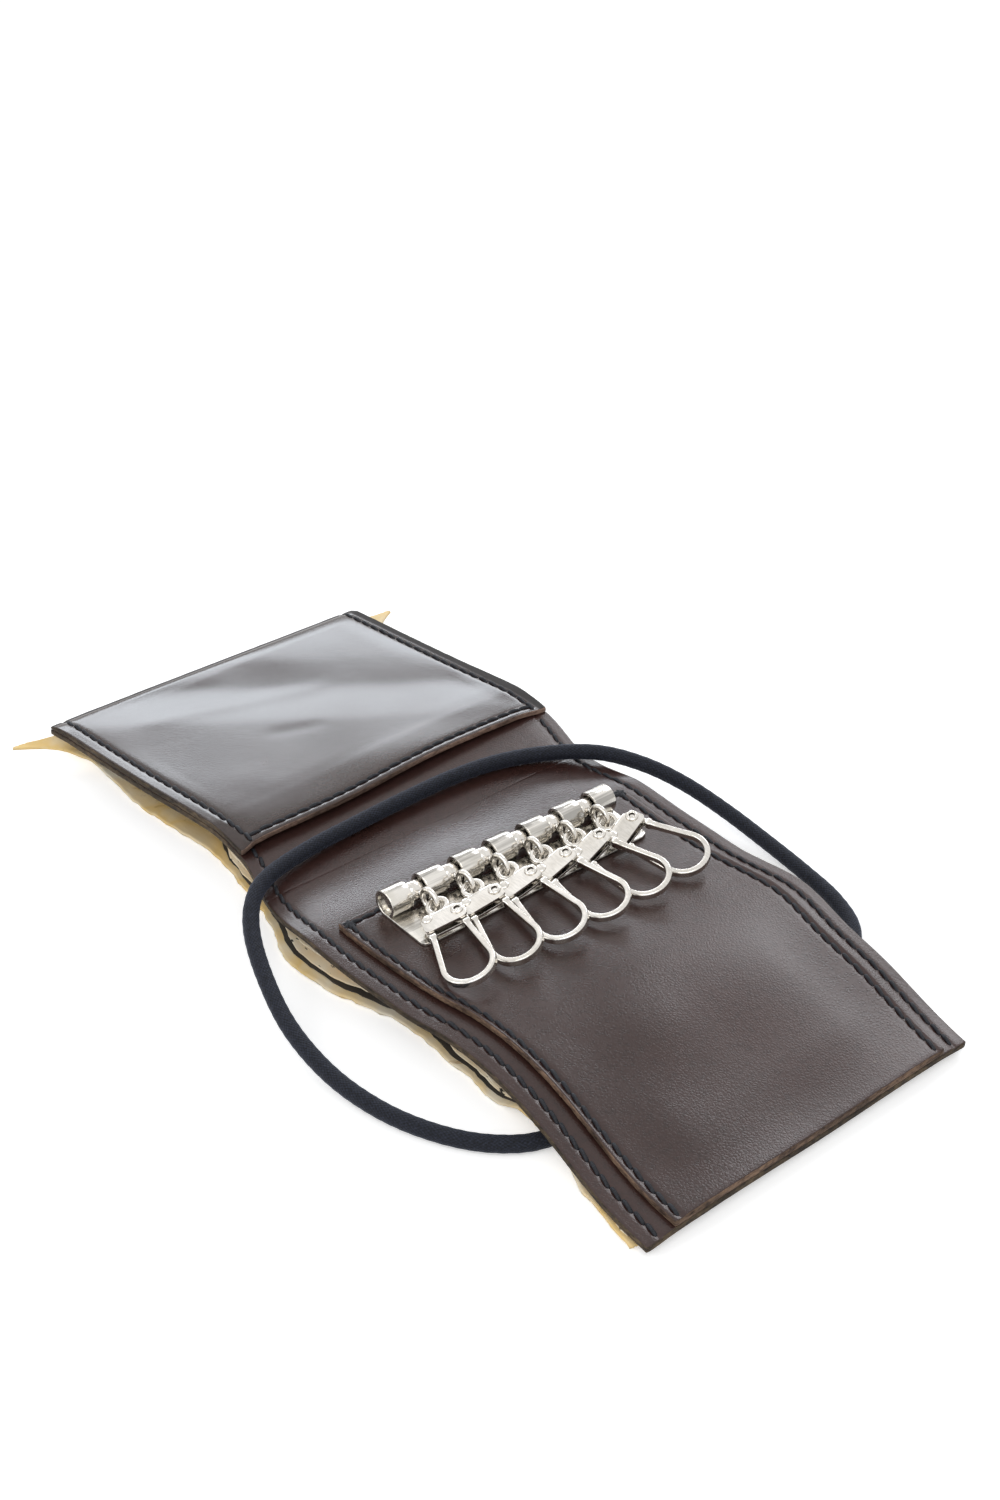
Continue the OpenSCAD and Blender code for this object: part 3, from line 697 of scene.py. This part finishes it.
world = bpy.data.worlds.new("studio")
scene.world = world
world.use_nodes = True
tree = world.node_tree
tree.nodes.clear()
soft = node(tree, "Background", {"Color": (0.96, 0.98, 1.0, 1), "Strength": 0.55})
bright = node(tree, "Background", {"Color": (1, 1, 1, 1), "Strength": 1.0})
both = node(tree, "MixShader", {"Fac": seen_rays(tree), 1: soft.outputs["Background"],
                                2: bright.outputs["Background"]})
node(tree, "OutputWorld", {"Surface": both.outputs["Shader"]})

# The floor: it takes soft shadows near the case, and fades to plain white further away
FADE_START, FADE_END, FLOOR_HALF = 0.25, 0.9, 3000
floor_mat, tree, shader = material("floor_white", (0.9, 0.9, 0.9), 0.9, specular=0.0)
matte = shader.outputs["BSDF"]
glow = node(tree, "Emission", {"Color": (1, 1, 1, 1), "Strength": 0.42})
lit = node(tree, "AddShader", {0: matte, 1: glow.outputs["Emission"]})
far = node(tree, "VectorMath", {0: node(tree, "TexCoord").outputs["Object"]}, operation="LENGTH")
plain = node(tree, "MixShader", {"Fac": zone(tree, far.outputs["Value"], FADE_START, FADE_END),
                                 1: lit.outputs["Shader"],
                                 2: node(tree, "Emission").outputs["Emission"]})
choose = node(tree, "MixShader", {"Fac": seen_rays(tree), 1: matte, 2: plain.outputs["Shader"]})
tree.links.new(choose.outputs["Shader"], tree.nodes["Material Output"].inputs["Surface"])
corners = [(sx * FLOOR_HALF, sy * FLOOR_HALF, 0) for sx, sy in ((-1, -1), (1, -1), (1, 1), (-1, 1))]
floor = make("floor", corners, [(0, 1, 2, 3)], [floor_mat], flat=True)

# The elastic band: its route in metres, as in the CAD source
BAND_ROUTE = [
    (-0.011, -0.062, 0.00165), (-0.018, -0.062, 0.00165),
    (-0.027, -0.0622, 0.00165), (-0.036, -0.062, 0.00165), (-0.043, -0.0575, 0.00165),
    (-0.0485, -0.050, 0.0017), (-0.0525, -0.040, 0.0019), (-0.0543, -0.028, 0.0024),
    (-0.0536, -0.015, 0.0037), (-0.0506, -0.003, 0.0058), (-0.0466, 0.007, 0.0081),
    (-0.042, 0.013, 0.010), (-0.036, 0.0164, 0.01065), (-0.026, 0.0186, 0.01065),
    (-0.014, 0.0196, 0.0106), (-0.002, 0.0202, 0.01065), (0.010, 0.0203, 0.01065),
    (0.021, 0.0188, 0.0106), (0.031, 0.0148, 0.0105), (0.039, 0.0088, 0.0103),
    (0.045, 0.002, 0.0085), (0.049, -0.006, 0.0062), (0.0509, -0.016, 0.0041),
    (0.0512, -0.027, 0.0026), (0.0504, -0.038, 0.0019), (0.0486, -0.048, 0.0017),
    (0.0444, -0.0566, 0.00165), (0.037, -0.0612, 0.00165), (0.027, -0.062, 0.00165),
    (0.018, -0.062, 0.00165), (0.011, -0.062, 0.00165)]


def spline(points, per):
    """A smooth line through points, in so many steps from each to the next."""
    points = [Vector(p) for p in points]
    out = []
    n = len(points)
    for k in range(n - 1):
        p, q, r, s = points[max(k - 1, 0)], points[k], points[k + 1], points[min(k + 2, n - 1)]
        for j in range(per):
            t = j / per
            out.append(q + ((r - p) * t + (2 * p - 5 * q + 4 * r - s) * t * t
                            + (3 * q - p - 3 * r + s) * t ** 3) / 2)
    out.append(points[-1])
    return out


def even(points, step):
    """The same line with points step apart."""
    out = [points[0]]
    gone = 0.0
    for a, b in zip(points, points[1:]):
        length = (b - a).length
        while gone + length >= step:
            a = a + (b - a) * ((step - gone) / length)
            out.append(a)
            length = (b - a).length
            gone = 0.0
        gone += length
    if (out[-1] - points[-1]).length > step * 0.3:
        out.append(points[-1])
    else:
        out[-1] = points[-1]
    return out


BAND_SIDES, BAND_STEP, BAND_ROUND = 24, 0.7, 10.05
BRAIDS, BRAID_TURN, BRAID_DEPTH = 6, 0.9, 0.035
band_path = even([p / MM for p in spline(BAND_ROUTE, 12)], BAND_STEP)


def band_section(k):
    shape = []
    for j in range(BAND_SIDES):
        a = TAU * j / BAND_SIDES
        weave = math.cos(BRAIDS * a + k * BRAID_TURN) * math.cos(BRAIDS * a - k * BRAID_TURN)
        r = BAND_R * (1 - BRAID_DEPTH + BRAID_DEPTH * weave)
        shape.append((r * math.cos(a), r * math.sin(a)))
    return shape


verts, faces = sweep(band_path, band_section)
band = make("band", verts, faces, [elastic_mat], None, "elastic")
layer = band.data.uv_layers.new(name="along")  # in millimetres, round the band and along it
for corner, item in zip(layer.data, band.data.loops):
    k, j = divmod(item.vertex_index, BAND_SIDES)
    corner.uv = (j / BAND_SIDES * BAND_ROUND, k * BAND_STEP)
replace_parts(band, "elastic_band")
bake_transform(band)

# The leather liner. Its grid stops short of its sides by about the radius of its rounded edge.
EDGE_IN = 0.3
SIDE_FINE = (-38.4, -SEAM_X, SEAM_X, 38.4)


def liner_place(x, y):
    return warp(x, y), y


def liner_under(x, y):
    return liner_top(x, y) - LEATHER_T


xs = across(CASE_HALF - EDGE_IN, 1.5, SIDE_FINE)
liner_a = sheet("liner_near_length", xs, spread(Y_NEAR + EDGE_IN, Y_JOIN, 1.0), liner_place,
                liner_skin, liner_under, [leather, liner_edge, flesh], None, "leather")
liner_b = sheet("liner_far_length", xs, spread(Y_JOIN - LAP, Y_FAR - EDGE_IN, 1.0), liner_place,
                liner_skin, liner_under, [leather, liner_edge, flesh], None, "leather")
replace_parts(liner_a, "liner_near")
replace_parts(liner_b, "liner_far")
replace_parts(liner_a, "liner_spine")
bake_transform(liner_a)
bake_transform(liner_b)

patch = sheet("key_patch_leather",
              across(PATCH_HALF - EDGE_IN, 1.5, (-32.4, -PATCH_SEAM_X, PATCH_SEAM_X, 32.4)),
              spread(Y_NEAR + EDGE_IN, Y_PATCH - EDGE_IN, 1.0, (PATCH_SEAM_Y,)), liner_place,
              patch_skin, patch_under, [leather, leather_edge, flesh], "near_panel", "leather",
              ragged=0.12)
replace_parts(patch, "key_patch")


def pocket_place(x, y):
    """The pocket's mouth runs askew and isn't straight."""
    skew = fade(y, Y_MOUTH + 30, Y_MOUTH)
    return warp(x, y), y + skew * (0.1 + 1.6 * x / CASE_HALF + 0.35 * math.sin(x / 9.0))


pocket = sheet("pocket_leather", across(CASE_HALF - EDGE_IN, 1.5, SIDE_FINE),
               spread(Y_MOUTH + EDGE_IN, Y_FAR - EDGE_IN, 1.0, (POCKET_SEAM_Y,)), pocket_place,
               pocket_skin, pocket_under, [leather_far, liner_edge, flesh, hem_edge], "far_panel",
               "leather", ragged=0.1)
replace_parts(pocket, "pocket_patch")


# Cover and inner sheets
CURL_START, FLOOR_GAP = 60, 0.02


def cover_place(x, y):
    """Ragged side edges, and corners that flare out at the far end."""
    t = (x + COVER_HALF) / (2 * COVER_HALF)
    left, right = hermite(COVER_LEFT, y), hermite(COVER_RIGHT, y)
    rough_l = 0.35 * ripple(y, 3, 2.3, 4.4) + 0.5 * ripple(y, 3, 7, 2.4)
    rough_r = 0.35 * ripple(y, 9, 2.3, 7.4) + 0.5 * ripple(y, 9, 7, 1.4)
    px = left + (right - left) * t + fade(t, 0.2, 0) * rough_l + fade(t, 0.8, 1) * rough_r
    flare = fade(y, 84, 92) * (1.5 + (4.5 if x < 0 else 1.4) * fade(abs(x), 28, COVER_HALF))
    return px, y + flare


def cover_under(x, y):
    """The sides wave a little over the table, and at the far end they stay low."""
    lift = follow(BASE, y) + FLOOR_GAP
    if y > CURL_START:
        lift -= follow(BASE, y) * (0.4 if x < 0 else 0.5) * fade(abs(x), 26, 36)
    elif y < CURL_START:
        lift += fade(abs(x), 30, COVER_HALF) * 0.35 * (1 + ripple(y, x, 6, 8.8))
    return lift


def cover_top(x, y):
    return cover_under(x, y) + COVER_T * (1 - 0.25 * fade(abs(x), 34, COVER_HALF))


def lap_depth(y):
    """How deep the far length of the cover lies inside the near one where they lap."""
    return LAP_DEPTH * (1 - fade(y, Y_JOIN - LAP, Y_JOIN - LAP + 1.5))


xs = across(COVER_HALF, 2.0, (-36, 36))
cover_a = sheet("cover_near_length", xs, spread(Y_NEAR + 3.2, Y_JOIN, 1.0), cover_place, cover_top,
                cover_under, [cover_mat] * 3, None, "cover", 0.35, 0.3)
cover_b = sheet("cover_far_length", xs, spread(Y_JOIN - LAP, Y_FAR - 0.4, 1.0), cover_place,
                lambda x, y: cover_top(x, y) - lap_depth(y),
                lambda x, y: cover_under(x, y) + lap_depth(y),
                [cover_mat] * 3, None, "cover", 0.35, 0.3)
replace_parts(cover_a, "cover_near", "cover_spine")
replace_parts(cover_b, "cover_far")
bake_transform(cover_a)
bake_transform(cover_b)

# How far the inner sheets fan open along the case
FAN = [(-91, 0.08), (-60, 0.15), (-38, 0.5), (-24, 1.0), (6, 1.0), (22, 0.55), (40, 0.3), (91, 0.1)]
PAGES = [  # name, share of the gap from the cover up, offset of its left edge, material, thickness
    ("film", 0.03, 0.9, film_mat, 0.16), ("sheet_low", 0.22, 1.6, paper_mat, 0.3),
    ("sheet_mid", 0.5, 2.6, paper_mat, 0.3), ("sheet_high", 0.8, 3.6, paper_pale, 0.3)]


def page(name, share, inset, mat, thick):
    """The near and the far length of one inner sheet."""
    def place(x, y):
        px = cover_place(x, y)[0]
        open_up = follow(FAN, y)
        left, right = fade(-x, 10, COVER_HALF), fade(x, 10, COVER_HALF)
        wave = 0.6 * ripple(y, share * 50, 9, 3.3)
        tuck = 0.5 + 4.5 * fade(y, 34, 50)
        return px + left * (inset * open_up + tuck + wave) - right * (inset * 0.6 + 0.8 + wave), y

    def under(x, y):
        low = cover_top(x, y) + 0.03
        high = liner_under(x, y) - 0.4
        open_up = follow(FAN, y)
        wave = 0.35 * ripple(y, share * 30, 11, 6.1) * open_up
        sag = 1 - 0.35 * fade(abs(x), 22, COVER_HALF) * open_up
        level = share * open_up * sag + 0.02 + share * 0.06
        return min(max(low + (high - low) * level + wave, low + share * 0.9), high - thick - 0.05)

    def top(x, y):
        return under(x, y) + thick

    pieces = []
    for suffix, y0, y1, bed in (("near", -86, Y_JOIN, cover_a), ("far", Y_JOIN - LAP, 89, cover_b)):
        piece = sheet(f"{name}_{suffix}", across(COVER_HALF, 2.5), spread(y0, y1, 1.3), place, top,
                      under, [mat] * 3, None, "sheet", thick / 2.2, 0.12)
        pieces.append(piece)
    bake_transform(pieces[0])
    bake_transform(pieces[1])
    return pieces


pages = [page(*row) for row in PAGES]
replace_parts(pages[1][0], "sheets_near", "sheets_spine")
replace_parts(pages[1][1], "sheets_far")


# Stitches
random.seed(7)
STITCH_PITCH, STITCH_R, STITCH_SLANT, STITCH_STEPS = 2.9, 0.39, 0.42, 8
JITTER = 0.06


def stitch(a, b, slant):
    """One stitch from a to b, which dives into the leather at both ends."""
    way = b - a
    side = Vector((way.y, -way.x, 0)).normalized()
    path = []
    for k in range(STITCH_STEPS + 1):
        t = k / STITCH_STEPS
        p = a + way * t + side * slant * (t - 0.5)
        p.z += 0.30 * math.sin(math.pi * t) ** 0.6 - 0.08
        path.append(p)

    def section(k):
        t = k / STITCH_STEPS
        r = STITCH_R * (0.62 + 0.38 * math.sin(math.pi * t) ** 0.5)
        shape = []
        sides = 8
        for j in range(sides):
            angle = TAU * j / sides
            ply = 1 + 0.13 * math.cos(2 * angle + 5.5 * t)
            shape.append((r * ply * math.cos(angle), r * 0.85 * ply * math.sin(angle)))
        return shape

    return sweep(path, section)


def stitch_row(points):
    """Stitches along a line of points that lie on a skin."""
    total = sum((b - a).length for a, b in zip(points, points[1:]))
    count = max(1, round(total / STITCH_PITCH))
    stops = even(points, total / count)
    parts = []
    for a, b in zip(stops, stops[1:]):
        gap = (b - a) * 0.005
        jitter = Vector((random.uniform(-JITTER, JITTER), random.uniform(-JITTER, JITTER), 0))
        parts.append((stitch(a + gap + jitter, b - gap + jitter, STITCH_SLANT), Matrix()))
    return parts


def line_on(place, skin, xa, ya, xb, yb, steps=160):
    """Points on a skin from (xa, ya) to (xb, yb)."""
    points = []
    for k in range(steps + 1):
        x, y = xa + (xb - xa) * k / steps, ya + (yb - ya) * k / steps
        px, py = place(x, y)
        points.append(Vector((px, py, skin(x, y))))
    return points


def thread_piece(name, rows, body, knots=()):
    """One piece with the stitches of some rows, and a few crossed ones at each knot."""
    parts = []
    for knot in knots:
        for dx, dy in ((1.3, 0.5), (0.3, 1.3), (-1.0, 0.9), (1.1, -0.8)):
            half = Vector((dx, dy, 0))
            parts.append((stitch(knot - half, knot + half, 0.2), Matrix()))
    for points in rows:
        parts += stitch_row(points)
    verts, faces = merge(parts)
    return make(name, verts, faces, [thread_mat], body, "thread")


def side_rows(place, skin, x, ya, yb):
    return [line_on(place, skin, s * x, ya, s * x, yb) for s in (-1, 1)]


rows_a = side_rows(liner_place, liner_skin, SEAM_X, Y_NEAR + 1, Y_JOIN)
rows_b = side_rows(liner_place, liner_skin, SEAM_X, Y_JOIN, Y_MOUTH)
thread_a = thread_piece("seam_near", rows_a, None)
thread_b = thread_piece("seam_far", rows_b, None)
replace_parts(thread_a, "thread_near", "thread_spine")
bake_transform(thread_a)
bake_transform(thread_b)
patch_rows = side_rows(liner_place, patch_skin, PATCH_SEAM_X, Y_NEAR + 0.8, PATCH_SEAM_Y)
patch_rows.append(line_on(liner_place, patch_skin, -PATCH_SEAM_X, PATCH_SEAM_Y,
                          PATCH_SEAM_X, PATCH_SEAM_Y))
knots = [patch_rows[2][0], patch_rows[2][-1]]
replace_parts(thread_piece("seam_patch", patch_rows, "near_panel", knots), "thread_patch")
pocket_rows = side_rows(pocket_place, pocket_skin, SEAM_X, Y_MOUTH + 0.6, Y_FAR - 1.6)
pocket_rows.append(line_on(pocket_place, pocket_skin, -SEAM_X, POCKET_SEAM_Y,
                           SEAM_X, POCKET_SEAM_Y))
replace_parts(thread_piece("seam_pocket", pocket_rows, "far_panel"), "thread_far")

# The keeper under the near panel
keeper = sheet("keeper_tab", across(KEEPER_HALF, 1.5), spread(KEEPER_NEAR, KEEPER_FAR, 1.2),
               lambda x, y: (x, y), lambda x, y: KEEPER_TOP, lambda x, y: KEEPER_UNDER,
               [leather, leather_edge, leather], "near_panel", "leather", 0.2)
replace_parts(keeper, "elastic_keeper")


# The rack: plate and knuckles are one bent sheet
FLAT_STEPS, ROLL_STEPS, ROLL_ANGLE = 10, 40, 322


def rack_profile():
    mid = RACK_T / 2
    points = [(Y_BARREL - PLATE_DEPTH + PLATE_DEPTH * k / FLAT_STEPS, Z_PLATE + mid)
              for k in range(FLAT_STEPS)]
    r = BARREL_R - mid
    for k in range(ROLL_STEPS + 1):
        a = math.radians(-90 + ROLL_ANGLE * k / ROLL_STEPS)
        points.append((Y_BARREL + r * math.cos(a), Z_BARREL + r * math.sin(a)))
    return points


def rack_mesh():
    """Between the knuckles only the flat part goes on, up to its last but two points."""
    profile = rack_profile()
    half = ((HOOKS + 1) * KNUCKLE_W + HOOKS * KNUCKLE_GAP) / 2
    cuts = sorted({round(-half + k * PITCH + d, 4)
                   for k in range(HOOKS + 1) for d in (0, KNUCKLE_W)})
    xs = []
    for a, b in zip(cuts, cuts[1:]):
        xs += [a, a + (b - a) / 3, a + (b - a) * 2 / 3]
    xs.append(cuts[-1])
    index, verts, faces = {}, [], []

    def vert(i, j):
        if (i, j) not in index:
            y, z = profile[j]
            x = xs[i]
            if j == 0 and i in (0, len(xs) - 1):  # the plate's two corners are cut
                x *= 0.985
                y += 0.45
            index[(i, j)] = len(verts)
            verts.append((x, y, z))
        return index[(i, j)]

    for i in range(len(xs) - 1):
        knuckle = (i // 3) % 2 == 0
        for j in range(len(profile) - 1):
            if knuckle or j < FLAT_STEPS - 2:
                faces.append((vert(i, j), vert(i + 1, j), vert(i + 1, j + 1), vert(i, j + 1)))
    return verts, faces


rack = make("rack_sheet", *rack_mesh(), [nickel_rack], "near_panel", "nickel")
bent_sheet(rack, RACK_T, 0.14)
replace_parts(rack, "rack_plate")


# Hooks, in the frames of the CAD source
HEAD_MID, HEAD_CORNER, HEAD_STEPS = 0.75, 0.9, 8


def rotation(degrees, axis):
    return Matrix.Rotation(math.radians(degrees), 4, axis)


def hook_x(i):
    return (i - MIDDLE_HOOK) * PITCH


def hook_matrix(i):
    yaw = FAN_MIDDLE + (i - MIDDLE_HOOK) * FAN_STEP
    return (Matrix.Translation((hook_x(i), Y_EYE - EYE_R, Z_EYE))
            @ rotation(yaw, "Z") @ rotation(HOOK_DIP, "X") @ rotation(-HOOK_ROLL, "Y"))


def link_mesh():
    """A sleeve on the rod, an eye that the head's ring goes through, and a neck between them."""
    lay = rotation(90, "Y")
    tilt = Matrix.Rotation(-LINK_RISE, 4, "X")
    sleeve = lathe(tube_profile(1.06, 1.9, KNUCKLE_GAP - 0.4, 0.2))
    eye = ring(EYE_R, 1.1, 1.0)
    neck = sweep([Vector((0, y, 0)) for y in (-1.2, -2.4, -3.3)],
                 lambda k: oval(1.0, (2.0, 1.6, 1.3)[k], 12))
    return merge([(sleeve, lay), (eye, tilt @ Matrix.Translation((0, -LINK_REACH, 0)) @ lay),
                  (neck, tilt)])


def head_mesh():
    """A sheet folded into a U: cheeks above and below, fold at the back."""
    back, front = -HEAD_REACH + HEAD_L / 2, -HEAD_REACH - HEAD_L / 2
    mid, corner = HEAD_MID, HEAD_CORNER
    rows = []
    for k in range(7):
        d = corner * (1 - math.cos(math.pi / 2 * k / 6))
        inset = corner - math.sqrt(max(corner ** 2 - (corner - d) ** 2, 0))
        rows.append((front + d, mid, HEAD_W / 2 - inset))
    rows += [(front + 2.4, mid, HEAD_W / 2), (back - 1.6, mid, HEAD_W / 2),
             (back - 1.3, mid, HEAD_W / 2 - 0.2), (back - 0.75, mid, 2.7)]
    for k in range(1, 5):
        a = math.pi / 2 * k / 4
        rows.append((back - 0.75 + 0.5 * math.sin(a), mid * math.cos(a), 2.5))
    rows += [(y, -z, w) for y, z, w in rows[-2::-1]]
    count = HEAD_STEPS + 1
    verts = [(w * (2 * j / HEAD_STEPS - 1), y, z) for y, z, w in rows for j in range(count)]
    faces = [(k + j, k + j + 1, k + j + count + 1, k + j + count)
             for k in range(0, (len(rows) - 1) * count, count) for j in range(HEAD_STEPS)]
    return verts, faces


LIP_SIDES, STUD_SIDES, CATCH_BACK = 32, 24, 0.92


def pins_mesh():
    """The hollow pivot rivet, whose bore is its first faces, and the solid catch pin."""
    lip = [(0.56, -1.3), (0.56, 1.3), (0.72, 1.42), (0.98, 1.38), (1.20, 1.22), (1.27, 1.02),
           (0.75, 0.98), (0.75, -0.98), (1.27, -1.02), (1.20, -1.22), (0.98, -1.38), (0.72, -1.42)]
    stud = [(0, -1.3), (0.5, -1.27), (0.95, -1.15), (1.05, -1.0), (0.6, -0.98)]
    stud += [(r, -z) for r, z in stud[::-1]]
    catch = Matrix.Translation((-PIN_X, CATCH_BACK - HEAD_REACH, 0))
    return merge([(lathe(lip, LIP_SIDES), Matrix.Translation((PIN_X, -HEAD_REACH, 0))),
                  (lathe(stud, STUD_SIDES), catch)])


def loop_mesh():
    """The bent loop: flat ends inside the head, straight legs, a round bow, and the pivot's eye."""
    flare = math.asin((LOOP_R - LOOP_TOP) / (LOOP_L - HEAD_L / 2))
    y_top, y_leg = -2.94, -3.89
    points, sizes = [], []
    leg_x, leg_y = LOOP_R * math.cos(flare), -LOOP_L + LOOP_R * math.sin(flare)
    for y, w, h in ((-0.8, 1.4, 0.7), (y_top + 0.5, 1.5, 0.75), (y_top + 0.15, 1.5, 0.8),
                    (y_top, 1.5, 1.75), (y_top - 0.75, 1.45, 1.8), (y_leg, 1.1, 1.6)):
        points.append(Vector((-LOOP_TOP, y, 0)))
        sizes.append((w, h))
    for k in range(1, 7):
        t = k / 7
        points.append(Vector((-LOOP_TOP + (LOOP_TOP - leg_x) * t, y_leg + (leg_y - y_leg) * t, 0)))
        sizes.append((WIRE_W, WIRE_H - 0.1))
    for k in range(25):
        a = math.pi - flare + (math.pi + 2 * flare) * k / 24
        points.append(Vector((LOOP_R * math.cos(a), -LOOP_L + LOOP_R * math.sin(a), 0)))
        sizes.append((WIRE_W, WIRE_H))
    before_bow = 12
    points += [Vector((-p.x, p.y, 0)) for p in points[before_bow - 1::-1]]
    sizes += sizes[before_bow - 1::-1]
    bar = sweep(points, lambda k: bar_section(*sizes[k]))
    eye = lathe(tube_profile(0.8, 1.55, 0.75, 0.1), 28)
    return merge([(bar, Matrix()), (eye, Matrix.Translation((PIN_X, 0, 0)))])


def hook_piece(name, mesh, matrix, body, mats=(nickel,), face_mats=None):
    verts, faces = merge([(mesh, matrix)])
    return make(name, verts, faces, list(mats), body, "nickel", face_mats and face_mats(faces))


def bore_dark(faces):
    """The pivot's bore gets the dark nickel."""
    return [int(k < LIP_SIDES) for k in range(len(faces))]


for i in range(1, HOOKS + 1):
    place = hook_matrix(i)
    link = hook_piece(f"link_{i}_metal", link_mesh(),
                      Matrix.Translation((hook_x(i), Y_BARREL, Z_BARREL)), f"link_{i}")
    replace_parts(link, f"hook_link_{i}")
    head = hook_piece(f"head_{i}_metal", head_mesh(), place, f"head_{i}")
    bent_sheet(head, 0.5, 0.12)
    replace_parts(head, f"hook_head_{i}")
    hook_piece(f"head_{i}_ring", ring(1.8, 1.0, 0.9), place, f"head_{i}")
    pins = hook_piece(f"head_{i}_pins", pins_mesh(), place, f"head_{i}", (nickel, dark_bore_nickel),
                      bore_dark)
    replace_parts(pins, f"hook_pins_{i}")
    loop = hook_piece(f"loop_{i}_metal", loop_mesh(),
                      place @ Matrix.Translation((0, -HEAD_REACH, 0)), f"loop_{i}")
    add_modifier(loop, "WEIGHTED_NORMAL", keep_sharp=False)
    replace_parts(loop, f"hook_loop_{i}")

for node in ("rack_rod", "rack_rivets", "rivet_caps"):
    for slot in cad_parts[node].material_slots:
        slot.material = nickel
